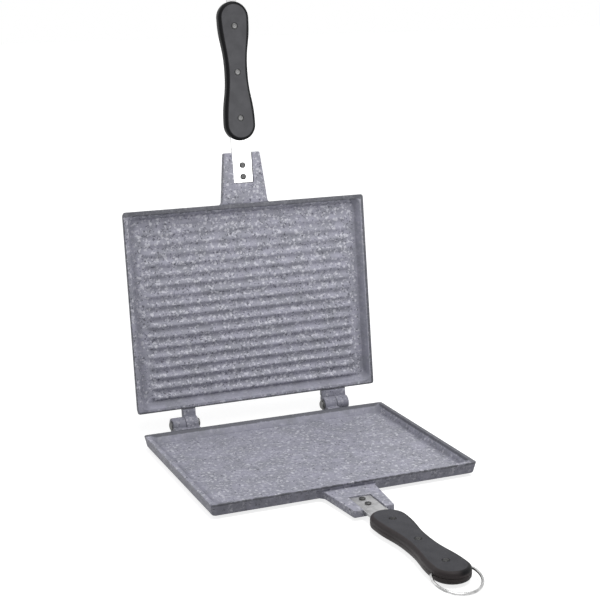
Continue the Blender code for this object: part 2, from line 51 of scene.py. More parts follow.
# %% [markdown]
# Both halves come from one casting pattern, so each is modelled once, lying shut: X along the hinge, Y
# towards the back with zero on the hinge's axis, and Z as the height outwards from the plane where the rims
# meet. A matrix then carries it to its place: the lower half is turned over, and the upper half is turned
# open.

# %% Where each half and the ring are
HINGE = Vector(lid_hinge["pos_m"])
OPEN_ANGLE = math.radians(max(lid_hinge["range_deg"]))
PIVOT = Vector(ring_swing["pos_m"])
LOWER = Matrix.Translation(HINGE) @ Matrix.Rotation(math.pi, 4, "Y")
UPPER = Matrix.Translation(HINGE) @ Matrix.Rotation(-OPEN_ANGLE, 4, "X")
BODIES = {"lower": ("lower half", LOWER), "upper": ("upper half", UPPER)}
print("hinge", HINGE[:], "open by", round(math.degrees(OPEN_ANGLE), 1), "degrees")

# %% Sizes of the casting, in metres
GAP = 0.0003
PLATE_WIDTH = 0.243
PLATE_DEPTH = 0.1884
WALL_HEIGHT = 0.011
WALL_DRAFT = 0.0021
RIM_WIDTH = 0.004
CAVITY_DEPTH = 0.0065
CAVITY_SLOPE = 0.0045
FLOOR_THICKNESS = 0.0035
BASE_HEIGHT = 0.003
BASE_INSET = 0.009
PANEL_MARGIN = 0.022
PAD_RADIUS = 0.022
HINGE_SETBACK = 0.01415
RIM_FACE = GAP / 2
FLOOR_FACE = CAVITY_DEPTH + RIM_FACE
CLOSING_HEIGHT = WALL_HEIGHT + BASE_HEIGHT
PLATE_BACK = -HINGE_SETBACK
PLATE_FRONT = PLATE_BACK - PLATE_DEPTH
PLATE_MIDDLE = (PLATE_BACK + PLATE_FRONT) / 2
print("plate", PLATE_WIDTH, "by", PLATE_DEPTH, "its middle at", round(PLATE_MIDDLE, 5))

# %% [markdown]
# The camera stands where the photographer stood: its place, its three turns and its lens come from fitting
# the corners, hinges and rivets of the real toaster. A focal length in pixels turns into millimetres with
# the width of the sensor.

# %% Camera
CAMERA_PLACE = (-0.4477, -1.06543, 0.42459)
CAMERA_AZIMUTH = math.radians(-22.645)
CAMERA_ELEVATION = math.radians(13.393)
CAMERA_ROLL = math.radians(-0.676)
FOCAL_PIXELS = 1368.119
FRAME_PIXELS = 600
SENSOR_WIDTH = 36

flat = math.cos(CAMERA_ELEVATION)
sideways = math.sin(CAMERA_AZIMUTH) * flat
forwards = -math.cos(CAMERA_AZIMUTH) * flat
back = Vector((sideways, forwards, math.sin(CAMERA_ELEVATION)))
right = Vector((0, 0, 1)).cross(back).normalized()
view_axes = Matrix((right, back.cross(right), back)).transposed()
lens = bpy.data.cameras.new("camera")
lens.sensor_width = SENSOR_WIDTH
lens.lens = SENSOR_WIDTH * FOCAL_PIXELS / FRAME_PIXELS
camera = bpy.data.objects.new("camera", lens)
rolled = view_axes.to_4x4() @ Matrix.Rotation(CAMERA_ROLL, 4, "Z")
camera.matrix_world = Matrix.Translation(CAMERA_PLACE) @ rolled
bpy.context.scene.collection.objects.link(camera)
bpy.context.scene.camera = camera
bpy.context.scene.view_settings.view_transform = "Standard"
print("lens", round(lens.lens, 2), "mm")

# %% [markdown]
# Shader maths reads best as ordinary expressions. Signal wraps one socket and overloads the operators, so
# that 1 - mask adds a Math node by itself.


# %% A socket that can be added up
class Signal:
    """One value in a node tree. Operators on it add Math nodes."""

    def __init__(self, recipe, socket):
        self.recipe = recipe
        self.socket = socket

    def maths(self, operation, *others, clamp=False):
        settings = {"operation": operation, "use_clamp": clamp}
        return self.recipe.node("ShaderNodeMath", settings, [self, *others])

    def __add__(self, other):
        return self.maths("ADD", other)

    def __sub__(self, other):
        return self.maths("SUBTRACT", other)

    def __rsub__(self, other):
        return self.recipe.node("ShaderNodeMath", {"operation": "SUBTRACT"}, [other, self])

    def __mul__(self, other):
        return self.maths("MULTIPLY", other)

    def __gt__(self, other):
        return self.maths("GREATER_THAN", other)

    def __lt__(self, other):
        return self.maths("LESS_THAN", other)

    def size(self):
        return self.maths("ABSOLUTE")

    def higher(self, other):
        return self.maths("MAXIMUM", other)

    def lower(self, other):
        return self.maths("MINIMUM", other)

    def clamped(self):
        return self.maths("ADD", 0, clamp=True)

    def rise(self, low, high):
        """0 below low and 1 above high, with a soft step between. low may be above high, to fall instead."""
        places = [self, low, high, 0, 1]
        return self.recipe.node("ShaderNodeMapRange", {"interpolation_type": "SMOOTHSTEP"}, places)

    __radd__ = __add__
    __rmul__ = __mul__


print("a socket knows", len([name for name in vars(Signal) if callable(getattr(Signal, name))]), "methods")

# %% [markdown]
# Recipe holds the nodes of one material, or of the world. Its node method makes every other node, and the
# methods below it are the few combinations that come back in most materials.

# %% A tree of nodes
MIX_FACTOR = 0
MIX_FIRST = 6
MIX_SECOND = 7
MIX_RESULT = 2
MILLIMETRES = 1000.0


class Recipe:
    """The nodes of one material, or of the world."""

    def __init__(self, name, kept_in=bpy.data.materials, shader="Principled BSDF"):
        self.made_for = kept_in.new(name)
        self.made_for.use_nodes = True
        self.tree = self.made_for.node_tree
        self.shader = self.tree.nodes[shader]

    def node(self, kind, settings=(), values=(), output=0):
        """Makes a node: its settings first, then its sockets, by order in a list, or by name or number in a
        dictionary. Returns one output, or all of them where output is None."""
        made = self.tree.nodes.new(kind)
        for key, value in dict(settings).items():
            setattr(made, key, value)
        pairs = values.items() if isinstance(values, dict) else enumerate(values)
        for key, value in pairs:
            self.feed(made.inputs[key], value)
        if output is None:
            return [Signal(self, each) for each in made.outputs]
        return Signal(self, made.outputs[output])

    def feed(self, socket, value):
        if isinstance(value, Signal):
            self.tree.links.new(value.socket, socket)
        elif value is not None:
            socket.default_value = value

    def blend(self, first, second, factor):
        """Two colours mixed by a factor."""
        values = {MIX_FACTOR: factor, MIX_FIRST: first, MIX_SECOND: second}
        return self.node("ShaderNodeMix", {"data_type": "RGBA"}, values, MIX_RESULT)

    def place(self, offset=(0, 0, 0)):
        """Where a point is on its piece, in millimetres and moved by the offset."""
        where = self.node("ShaderNodeTexCoord", output="Object")
        values = {"Vector": where, "Location": offset, "Scale": (MILLIMETRES,) * 3}
        return self.node("ShaderNodeMapping", (), values)

    def vector(self, operation, first, second):
        """Two vectors added or multiplied."""
        return self.node("ShaderNodeVectorMath", {"operation": operation}, [first, second])

    def noise(self, where, scale, detail=2.0, roughness=0.5):
        values = {"Vector": where, "Scale": scale, "Detail": detail, "Roughness": roughness}
        return self.node("ShaderNodeTexNoise", (), values, "Fac")

    def shade(self, **sockets):
        """Feeds the shader that closes the tree."""
        for name, value in sockets.items():
            self.feed(self.shader.inputs[name.replace("_", " ")], value)

    def bump(self, height, distance):
        values = {"Height": height, "Distance": distance, "Strength": 1.0}
        self.shade(Normal=self.node("ShaderNodeBump", (), values))


def grey(level, blue=0.0):
    """A neutral colour, a little bluer if asked."""
    return (level, level, level + blue, 1.0)


print("white is", grey(1))

# %% [markdown]
# The photograph is a cut-out on white with a soft shadow under the plate. A diffuse floor keeps the shadow,
# and a glow that only the camera and mirror-like rays see lifts the rest of it to white. Brighter lamps
# could do that too, but they would wash out the toaster, and this glow doesn't light it. The world does the
# same: it is white to look at and in a mirror, and only a third as bright for soft light.

# %% Floor, backdrop and world
FLOOR_REACH = 8.0
FLOOR_SQUARES = 8
FLOOR_GLOW = 0.80
FLOOR_COLOUR = 0.50
WORLD_LIGHT = 0.33


def seen_directly(recipe):
    """1 for rays from the camera, off a mirror or through glass, and 0 for rays that carry light."""
    names = ("Is Camera Ray", "Is Glossy Ray", "Is Transmission Ray")
    rays = [recipe.node("ShaderNodeLightPath", output=name) for name in names]
    return (rays[0] + rays[1] + rays[2]).clamped()


paper = Recipe("white_paper")
glow = paper.node("ShaderNodeEmission", (), {"Strength": seen_directly(paper) * FLOOR_GLOW})
matt = paper.node("ShaderNodeBsdfDiffuse", (), {"Color": grey(FLOOR_COLOUR)})
both = paper.node("ShaderNodeAddShader", (), [matt, glow])
paper.feed(paper.tree.nodes["Material Output"].inputs["Surface"], both)

sheet = bmesh.new()
bmesh.ops.create_grid(sheet, x_segments=FLOOR_SQUARES, y_segments=FLOOR_SQUARES, size=FLOOR_REACH)
floor_mesh = bpy.data.meshes.new("floor")
sheet.to_mesh(floor_mesh)
sheet.free()
floor_mesh.materials.append(paper.made_for)
floor = bpy.data.objects.new("floor", floor_mesh)
bpy.context.scene.collection.objects.link(floor)

sky = Recipe("studio", bpy.data.worlds, "Background")
light_ray = sky.node("ShaderNodeLightPath", output="Is Diffuse Ray")
sky.shade(Color=grey(1), Strength=light_ray * (WORLD_LIGHT - 1) + 1)
bpy.context.scene.world = sky.made_for
print("floor", FLOOR_REACH * 2, "m wide, world at", WORLD_LIGHT, "for soft light")

# %% [markdown]
# A wide sun high in front gives the ribs their shaded undersides and lights the floor evenly, however far
# it reaches. A small soft box near the top of the upper plate lifts it from the front, where the
# photograph's ribs fade, and a faint sun behind keeps the toaster's back from going dark.

# %% Lamps
KEY_ELEVATION = math.radians(74)
KEY_AZIMUTH = math.radians(8)
KEY_STRENGTH = 1.18
KEY_SPREAD = math.radians(22)
BACK_ELEVATION = math.radians(32)
BACK_AZIMUTH = math.radians(215)
BACK_STRENGTH = 0.45
BACK_SPREAD = math.radians(60)
FILL_PLACE = (0.09, -0.17, 0.34)
FILL_AIM = (0.0, 0.13, 0.19)
FILL_SIZE = 0.22
FILL_WATTS = 0.70


def add_sun(name, elevation, azimuth, strength, spread):
    """A sun seen at an elevation, and at an azimuth counted from straight in front."""
    light = bpy.data.lights.new(name, "SUN")
    light.energy = strength
    light.angle = spread
    sun = bpy.data.objects.new(name, light)
    sun.rotation_euler = (math.pi / 2 - elevation, 0, azimuth)
    bpy.context.scene.collection.objects.link(sun)
    print(name, "sun", strength)


add_sun("key", KEY_ELEVATION, KEY_AZIMUTH, KEY_STRENGTH, KEY_SPREAD)
add_sun("rear", BACK_ELEVATION, BACK_AZIMUTH, BACK_STRENGTH, BACK_SPREAD)

box = bpy.data.lights.new("fill", "AREA")
box.size = FILL_SIZE
box.energy = FILL_WATTS
fill = bpy.data.objects.new("fill", box)
fill.location = FILL_PLACE
fill.rotation_euler = (Vector(FILL_PLACE) - Vector(FILL_AIM)).to_track_quat("Z", "Y").to_euler()
fill.visible_camera = False
bpy.context.scene.collection.objects.link(fill)
print("fill box", box.energy, "W")

# %% [markdown]
# The coating is a sprayed granite look: a blue-grey ground with pale and dark chips of a few sizes. Voronoi
# cells give the chips. Each cell has its own random colour, so one channel picks which cells hold a chip
# and another how large it is, and a little noise in the coordinates makes their edges ragged. Between the
# chips lie softer flecks, which are the peaks of a plain noise. A picture of such a coating would repeat
# and carry its own light, and these formulas give every piece its chips at their real size.

# %% Chips and flecks of the granite coating
CHIP_EDGE = 0.15
CHIP_KINDS = (
    # what, cells to the millimetre, share with a chip, least and largest radius in cells, colour, strength
    ("small pale chips", 0.55, 0.40, 0.20, 0.42, grey(0.46, 0.04), 0.5),
    ("dark chips", 0.33, 0.45, 0.22, 0.42, grey(0.085, 0.022), 0.80),
    ("pale chips", 0.26, 0.60, 0.24, 0.47, grey(0.57, 0.05), 0.85),
)
CHIP_SHIFT = 7.3
FLECK_EDGE = 0.06
FLECK_KINDS = (
    # what, scale of the noise, level above which it is a fleck, offset of the noise, colour, strength
    ("dark flecks", 0.44, 0.60, (5.0, 17.0, 29.0), grey(0.090, 0.025), 0.75),
    ("pale flecks", 0.30, 0.575, (23.0, 2.0, 13.0), grey(0.540, 0.055), 0.85),
)


def chips(recipe, where, cells, share, low, high):
    """How much of a chip is here: cells to the millimetre, the share of them used, and a chip's least and
    largest radius in cells."""
    settings = {"feature": "F1", "voronoi_dimensions": "3D"}
    values = {"Vector": where, "Scale": cells}
    reach = recipe.node("ShaderNodeTexVoronoi", settings, values, "Distance")
    kind = recipe.node("ShaderNodeTexVoronoi", settings, values, "Color")
    chosen, width, _ = recipe.node("ShaderNodeSeparateColor", (), [kind], None)
    picked = chosen < share
    radius = width * (high - low) + low
    return (radius - reach).rise(0.0, CHIP_EDGE) * picked


def flecks(recipe, where, scale, level, offset):
    """How much of a soft fleck is here."""
    place = recipe.vector("ADD", where, offset)
    return recipe.noise(place, scale, 2.0, 0.6).rise(level, level + FLECK_EDGE)


print(len(CHIP_KINDS), "kinds of chip and", len(FLECK_KINDS), "of fleck")

# %% [markdown]
# Shade is painted at the edges. The rim's outer edge carries a ragged dark band of painted shade, painted
# shade darkens the floor where it meets its walls, the outer walls and the hinges, and the spray of chips
# hardly reached the steep walls at the right and the back. All of that follows the plate's outline, so one
# function measures how far inside it a point is. Painting masks by hand would do it too, but a measure keeps
# to the shape at any size.

# %% Painted shade on the rim, floor, walls and hinges, and bare walls
# Colour, strength and raggedness of the painted shade along the rim's outer edge.
RIM_SHADE_COLOUR = (0.070, 0.072, 0.082, 1.0)
RIM_SHADE_STRENGTH = 0.78
RIM_NOISE_SCALE = 0.28
RIM_RAGGED = 2.4
RIM_FADE = 0.5
# Colour, patches and reach of the painted shade at the floor's edges, on the outer walls and on the hinges.
PAINTED_SHADE_COLOUR = (0.130, 0.130, 0.160, 1.0)
PAINTED_SHADE_SCALE = 0.12
CORNER_PAINTED_SHADE = (0.12, 0.25)
CORNER_REACH = (5.0, 0.5)
FLANK_PAINTED_SHADE = (0.28, 0.25)
FLANK_REACH = (6.0, 0.5)
WALL_PAINTED_SHADE = (0.25, 0.35)
WALL_REACH = (1.0, 3.0)
HINGE_PAINTED_SHADE = 0.42
HINGE_REACH = (-1.0, -4.0)
OUTLINE_SLACK = 0.6
WALL_TOP = RIM_WIDTH * MILLIMETRES
WALL_FOOT = (RIM_WIDTH + CAVITY_SLOPE) * MILLIMETRES
TOP_FADE = 1.5
FOOT_FADE = 2.0
SPRAY_MISSED = 0.75
FAR = 1000.0


def insets(recipe, where, widths=(0, 0, 0, 0)):
    """How far a point is inside the plate's outline, in millimetres, less a width of its own for each side,
    and its height. The sides are +X, -X, the back and the front, and -FAR leaves one out."""
    x, y, height = recipe.node("ShaderNodeSeparateXYZ", (), [where], None)
    side = PLATE_WIDTH / 2 * MILLIMETRES
    back = (PLATE_DEPTH / 2 + PLATE_MIDDLE) * MILLIMETRES
    front = (PLATE_DEPTH / 2 - PLATE_MIDDLE) * MILLIMETRES
    across = (side - x - widths[0]).lower(side + x - widths[1])
    return across.lower(back - y - widths[2]).lower(front + y - widths[3]), height


def rim_shade(recipe, where, widths, drop):
    """1 where the rim's painted shade lies: the outer part of the rim's face and round its edge, ragged."""
    inside, height = insets(recipe, where, widths)
    outline, _ = insets(recipe, where)
    ragged = recipe.noise(where, RIM_NOISE_SCALE, 3.0) * RIM_RAGGED - RIM_RAGGED / 2
    near_rim = height.rise(drop + RIM_FADE, drop - RIM_FADE) * (outline > -OUTLINE_SLACK)
    return (inside + ragged).rise(RIM_FADE, -RIM_FADE) * near_rim


def cavity_wall(recipe, where):
    """1 on the steep walls at the right and the back."""
    outline, _ = insets(recipe, where, (0, -FAR, 0, -FAR))
    return outline.rise(WALL_TOP - TOP_FADE, WALL_TOP) * outline.rise(WALL_FOOT + FOOT_FADE, WALL_FOOT)


def painted_shade(recipe, where):
    """How much shade is painted: least all round the floor, more at its sides, most on the hinges."""
    outline, height = insets(recipe, where)
    flanks, _ = insets(recipe, where, (0, 0, -FAR, -FAR))
    behind, _ = insets(recipe, where, (-FAR, -FAR, 0, -FAR))
    patchy = recipe.noise(where, PAINTED_SHADE_SCALE, 3.0).rise(0.3, 0.6)

    def patches(amount):
        least, more = amount
        return patchy * more + least

    corner = (outline - WALL_FOOT).size().rise(*CORNER_REACH) * patches(CORNER_PAINTED_SHADE)
    flank = (flanks - WALL_FOOT).size().rise(*FLANK_REACH) * patches(FLANK_PAINTED_SHADE)
    outside = (outline < WALL_DRAFT * MILLIMETRES + OUTLINE_SLACK) * (outline > -OUTLINE_SLACK)
    wall = height.rise(*WALL_REACH) * outside * patches(WALL_PAINTED_SHADE)
    hinges = behind.rise(*HINGE_REACH) * HINGE_PAINTED_SHADE
    return corner.higher(flank).higher(wall).higher(hinges)


print("rim", WALL_TOP, "mm wide, wall's foot", WALL_FOOT, "mm in")

# %% [markdown]
# The coating is then built up as it was sprayed: ground, chips, flecks, and on top painted shade at the
# floor's edges, on the walls and hinges, and along the rim. The two plates weren't sprayed alike. The upper
# one has more chips, and the rim's painted shade lies at other sides.

# %% Granite coating
GROUND_COLOURS = ((0.250, 0.254, 0.292, 1.0), (0.320, 0.318, 0.385, 1.0))
GRAIN_COLOUR = (0.38, 0.38, 0.43, 1.0)
GRAIN_STRENGTH = 0.18
CHIP_RAGGED = 3.4
CHIP_RELIEF = 0.4
COAT_ROUGHNESS = 0.44
COAT_ROUGHNESS_MORE = 0.16
COAT_REFLECTION = 0.25
COAT_BUMP = 0.00015


def granite(name, offset, density, widths, drop):
    """offset is the coating's place in the noise, density its share of chips, and widths and drop are how far
    the rim's painted shade reaches over the rim and down it, in millimetres."""
    recipe = Recipe(name)
    plain = recipe.place()
    where = recipe.place(offset)
    drift = recipe.node("ShaderNodeTexNoise", (), {"Vector": where, "Scale": 0.6, "Detail": 3.0}, "Color")
    ragged = recipe.vector("ADD", where, recipe.vector("MULTIPLY", drift, (CHIP_RAGGED,) * 3))
    cloud = recipe.noise(where, 0.07, 3.0).rise(0.3, 0.7)
    grain = recipe.noise(where, 1.1, 3.0).rise(0.25, 0.75)
    ground = recipe.blend(*GROUND_COLOURS, cloud)
    ground = recipe.blend(ground, GRAIN_COLOUR, grain * GRAIN_STRENGTH)
    relief = recipe.noise(where, 1.6, 3.0) * 0.5
    sprayed = 1 - cavity_wall(recipe, plain) * SPRAY_MISSED
    for number, (kind, cells, share, low, high, colour, strength) in enumerate(CHIP_KINDS):
        apart = recipe.vector("ADD", ragged, (number * CHIP_SHIFT, 3.1, 5.7))
        here = chips(recipe, apart, cells, share * density**2, low, high) * strength * sprayed
        ground = recipe.blend(ground, colour, here)
        relief = relief + here * CHIP_RELIEF
    for kind, scale, level, shift, colour, strength in FLECK_KINDS:
        here = flecks(recipe, where, scale, level, shift) * (strength * density**1.5) * sprayed
        ground = recipe.blend(ground, colour, here)
    # Painted shade at the floor's edges, on the outer walls and on the hinges.
    ground = recipe.blend(ground, PAINTED_SHADE_COLOUR, painted_shade(recipe, plain))
    # A ragged band of painted shade along the rim's outer edge.
    ground = recipe.blend(ground, RIM_SHADE_COLOUR, rim_shade(recipe, plain, widths, drop) * RIM_SHADE_STRENGTH)
    roughness = recipe.noise(where, 0.8).rise(0.2, 0.8) * COAT_ROUGHNESS_MORE + COAT_ROUGHNESS
    recipe.shade(Base_Color=ground, Roughness=roughness, Specular_IOR_Level=COAT_REFLECTION)
    recipe.bump(relief, COAT_BUMP)
    print(name, "has", len(recipe.tree.nodes), "nodes")
    return recipe.made_for


granite_coats = {
    "lower": granite("granite_lower", (3.0, 11.0, 0.0), 0.82, (0.0, 5.5, 5.5, 0.6), 2.2),
    "upper": granite("granite_upper", (41.0, 0.0, 9.0), 1.00, (3.0, 0.9, 1.8, 4.6), 1.4),
}

# %% [markdown]
# The handles are moulded in black phenolic: the flat faces have the mould's matt texture and look grey, and
# the rounded edges are polished and look black. On the lower handle the wall and the border at one side are
# painted brownish, a painted reflection, and its face is painted darker, as painted shade. Separate materials
# on chosen faces would do, but the border between them is soft. So one material does it all: it works out how
# far a point is inside the handle's outline, and has to know the outline's sizes for that.

# %% Sizes of the handle
LUG_LENGTH = 0.0478
STRAP_HEIGHT = 0.0065
HANDLE_GAP = 0.011
HANDLE_LENGTH = 0.1295
HANDLE_END_WIDTH = 0.0302
HANDLE_WAIST_WIDTH = 0.0214
HANDLE_THICKNESS = 0.0100
LUG_END = PLATE_FRONT - LUG_LENGTH
HANDLE_BASE = LUG_END - HANDLE_GAP
HANDLE_TIP = HANDLE_BASE - HANDLE_LENGTH
print("handle from", round(HANDLE_BASE, 4), "to", round(HANDLE_TIP, 4))

# %% Handle plastic
POLISHED_BORDER = 2.9
POLISHED_FADE = 0.5
POLISHED_BLACK = (0.005, 0.005, 0.006, 1.0)
WALL_HALF = 2.2
WALL_FADE = 0.6
LIT_SIDE_FADE = 3.0
FACE_DARKER = 0.92
FACE_LIGHTER = 1.10
PLASTIC_ROUGHNESS = 0.42
FACE_ROUGHNESS_MORE = 0.20
PLASTIC_REFLECTION = 0.12
FACE_BUMP = 0.00010


def inside_handle(recipe, x, y):
    """How far a point is inside the handle's outline, in millimetres."""
    end = HANDLE_END_WIDTH / 2 * MILLIMETRES
    waist = HANDLE_WAIST_WIDTH / 2 * MILLIMETRES
    straight = HANDLE_LENGTH / 2 * MILLIMETRES - end
    along = (y - (HANDLE_BASE + HANDLE_TIP) / 2 * MILLIMETRES).size()
    half_width = along.rise(0, straight) * (end - waist) + waist
    beyond = (along - straight).higher(0)
    return half_width - (x * x + beyond * beyond).maths("SQRT")


def bakelite(name, face_level, wall_colour, lit_side_colour):
    """wall_colour is the edge's at half height, and lit_side_colour the polished border's towards +X, a
    painted reflection where it isn't black.
    """
    recipe = Recipe(name)
    where = recipe.place()
    x, y, z = recipe.node("ShaderNodeSeparateXYZ", (), [where], None)
    inside = inside_handle(recipe, x, y)
    face = inside.rise(POLISHED_BORDER - POLISHED_FADE, POLISHED_BORDER + POLISHED_FADE)
    off_middle = (z - STRAP_HEIGHT * MILLIMETRES).size()
    wall = off_middle.rise(WALL_HALF + WALL_FADE, WALL_HALF - WALL_FADE)
    cloud = recipe.noise(where, 0.09, 3.0).rise(0.3, 0.7)
    darker = grey(face_level * FACE_DARKER, 0.006)
    matt_face = recipe.blend(darker, grey(face_level * FACE_LIGHTER, 0.007), cloud)
    # Towards +X the polished border turns to a second colour, which on the lower handle is a painted
    # reflection.
    edge = recipe.blend(POLISHED_BLACK, lit_side_colour, x.rise(-LIT_SIDE_FADE, LIT_SIDE_FADE))
    edge = recipe.blend(edge, wall_colour, wall)
    recipe.shade(
        Base_Color=recipe.blend(edge, matt_face, face),
        Roughness=face * FACE_ROUGHNESS_MORE + PLASTIC_ROUGHNESS + recipe.noise(where, 0.6) * 0.08,
        Specular_IOR_Level=PLASTIC_REFLECTION,
    )
    recipe.bump(recipe.noise(where, 2.5, 4.0, 0.6) * face, FACE_BUMP)
    print(name, "has", len(recipe.tree.nodes), "nodes")
    return recipe.made_for


# The lower handle is a shaded copy of the upper one: its face painted darker as painted shade, and its wall
# and its border towards +X brownish as a painted reflection.
black_plastic = {
    "lower": bakelite("bakelite_lower_painted_light", 0.060, (0.050, 0.043, 0.044, 1.0), (0.040, 0.034, 0.035, 1.0)),
    "upper": bakelite("bakelite_upper", 0.088, (0.020, 0.020, 0.021, 1.0), POLISHED_BLACK),
}

# %% [markdown]
# The straps are bright rolled steel, the rivets duller, the hinge pins dark, and the ring is plated wire.
# They differ only in how pale and how rough they are and in the way their marks run, so one function makes
# them all: a metal shader with fine marks, drawn out along the strap for the rolled ones, and a faint cloud
# of stains.

# %% Straps, rivets and wire
STEEL_MARK_SCALE = 1.4
STEEL_BUMP = 0.00002
ROLLED = (1.0, 0.05, 1.0)


def steel(name, low, high, roughness, grain=(1, 1, 1)):
    """Steel between two levels of grey. A small number in grain draws the marks out that way."""
    recipe = Recipe(name)
    where = recipe.place()
    marks = recipe.noise(recipe.vector("MULTIPLY", where, grain), STEEL_MARK_SCALE, 5.0, 0.6)
    stain = recipe.noise(where, 0.16, 3.0).rise(0.35, 0.7)
    recipe.shade(
        Base_Color=recipe.blend(grey(high), grey(low), stain * 0.6 + marks * 0.3),
        Metallic=1.0,
        Roughness=marks * 0.14 + roughness,
    )
    recipe.bump(marks, STEEL_BUMP)
    print(name, "from", low, "to", high)
    return recipe.made_for


strap_steel = {
    "lower": steel("strap_steel_lower", 0.38, 0.66, 0.30, ROLLED),
    "upper": steel("strap_steel_upper", 0.34, 0.54, 0.22, ROLLED),
}
dull_rivets = steel("dull_rivets", 0.05, 0.11, 0.42)
handle_rivets = {
    "lower": steel("rivets_lower", 0.03, 0.07, 0.40),
    "upper": steel("rivets_upper", 0.11, 0.18, 0.42),
}
hinge_steel = steel("hinge_steel", 0.10, 0.18, 0.42)
ring_wire = steel("ring_wire", 0.26, 0.60, 0.20)

# %% [markdown]
# A piece is a mesh, a material and a body to ride on. Shapes are joined and cut with Blender's exact
# Boolean, which needs closed meshes. Flat faces next to small fillets shade wrongly when normals are
# averaged, so every piece gets weighted normals, which let the large faces keep theirs.

# %% Making a piece
SHARP = math.radians(38)
WELD = 0.000003


def mesh_of(bm, name):
    bmesh.ops.recalc_face_normals(bm, faces=bm.faces)
    mesh = bpy.data.meshes.new(name)
    bm.to_mesh(mesh)
    bm.free()
    return mesh


def put(name, mesh, matrix):
    obj = bpy.data.objects.new(name, mesh)
    bpy.context.scene.collection.objects.link(obj)
    obj.matrix_world = matrix
    return obj


def finished_mesh(obj):
    """The mesh that an object's modifiers, or a curve's own settings, make of it."""
    bpy.context.view_layer.update()
    graph = bpy.context.evaluated_depsgraph_get()
    return bpy.data.meshes.new_from_object(obj.evaluated_get(graph))


def combine(obj, mesh, operation):
    """Joins or cuts an object with a mesh that lies where the object does."""
    tool = put(mesh.name, mesh, obj.matrix_world)
    step = obj.modifiers.new(operation, "BOOLEAN")
    step.operation = operation
    step.solver = "EXACT"
    step.object = tool
    result = finished_mesh(obj)
    obj.modifiers.clear()
    obj.data = result
    bpy.data.objects.remove(tool)


def dress(obj, material, body, slot, *nodes):
    """Shading, finish and body for a finished piece, and the nodes that it stands for."""
    mesh = obj.data
    mesh.materials.clear()
    mesh.materials.append(material)
    mesh.shade_smooth()
    mesh.set_sharp_from_angle(angle=SHARP)
    weigh = obj.modifiers.new("flat faces", "WEIGHTED_NORMAL")
    weigh.keep_sharp = True
    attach(obj, body)
    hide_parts(*nodes)
    print(obj.name, len(mesh.polygons), "faces")


print("edges over", round(math.degrees(SHARP)), "degrees stay sharp")

# %% [markdown]
# A plate is a rounded rectangle all the way through, from the pad under it, round the wall and the rim, to
# the floor inside. So it is lofted: a profile of (inset, height) with a fillet at each corner gives one
# rounded rectangle per point, and quads join them. Every edge of the casting is then truly round.

# %% Fillets and loops
CORNER_STEPS = 8
FILLET_STEPS = 4


def filleted(points):
    """Rounds the corners of a path of (x, y, radius, tag). Returns (x, y, tag) for each point of it."""
    path = []
    for number, (x, y, radius, tag) in enumerate(points):
        if not radius or number in (0, len(points) - 1):
            path.append((x, y, tag))
            continue
        here = Vector((x, y))
        before = (Vector(points[number - 1][:2]) - here).normalized()
        after = (Vector(points[number + 1][:2]) - here).normalized()
        half = before.angle(after) / 2
        centre = here + (before + after).normalized() * radius / math.sin(half)
        start = here + before * radius / math.tan(half) - centre
        end = here + after * radius / math.tan(half) - centre
        turn = math.atan2(start.cross(end), start.dot(end))
        steps = max(2, math.ceil(abs(turn) / (math.pi / 2) * FILLET_STEPS))
        for step in range(steps + 1):
            path.append((*(centre + Matrix.Rotation(turn * step / steps, 2) @ start), tag))
    return path


def rounded_rectangle(width, depth, corner, height):
    """Points of a level loop round the middle of the plate, anticlockwise."""
    points = []
    for quarter, (side, end) in enumerate(((1, 1), (-1, 1), (-1, -1), (1, -1))):
        centre = Vector((side * (width / 2 - corner), PLATE_MIDDLE + end * (depth / 2 - corner)))
        for step in range(CORNER_STEPS + 1):
            angle = math.pi / 2 * (quarter + step / CORNER_STEPS)
            points.append((centre.x + corner * math.cos(angle), centre.y + corner * math.sin(angle), height))
    return points


def loft(bm, loops, closed=False):
    """Joins loops with quads, and with triangles where one is a single point. A closed loft joins the last
    loop to the first as well. Returns the vertices of the first and the last loop."""
    rows = [[bm.verts.new(point) for point in loop] for loop in loops]
    sides = max(len(row) for row in rows)
    for low, high in zip(rows, rows[1:] + rows[:1] if closed else rows[1:]):
        for this in range(sides):
            after = (this + 1) % sides
            corners = [low[this], low[after]] if len(low) > 1 else [low[0]]
            corners += [high[after], high[this]] if len(high) > 1 else [high[0]]
            bm.faces.new(corners)
    return rows[0], rows[-1]


print("a right angle is rounded in", FILLET_STEPS, "steps, and a plate's corner in", CORNER_STEPS)

# %% The loops of one plate
PLATE_CORNER = 0.0025
CAVITY_CORNER = 0.006
BASE_CORNER = 0.010
PANEL_CORNER = 0.008
PANEL_SLOPE = 0.0015
BASE_DRAFT = 0.001
PANEL_FACE = FLOOR_FACE + FLOOR_THICKNESS
PANEL_LEDGE = 0.002
PANEL_FOOT_ROUND = 0.0008
PANEL_LIP_ROUND = 0.0007
PAD_EDGE = 0.0006
BASE_LIP_ROUND = 0.0008
BASE_FOOT_ROUND = 0.0010
PLATE_ROUND = 0.0020
RIM_OUTER_ROUND = 0.0008
RIM_INNER_ROUND = 0.0007
CAVITY_ROUND = 0.0018
FLOOR_LEDGE = 0.0012
BASE_EDGE = WALL_DRAFT + BASE_INSET + BASE_DRAFT
PANEL_EDGE = BASE_EDGE + PANEL_MARGIN
PANEL_FOOT = PANEL_EDGE + PANEL_SLOPE
FLOOR_START = RIM_WIDTH + CAVITY_SLOPE
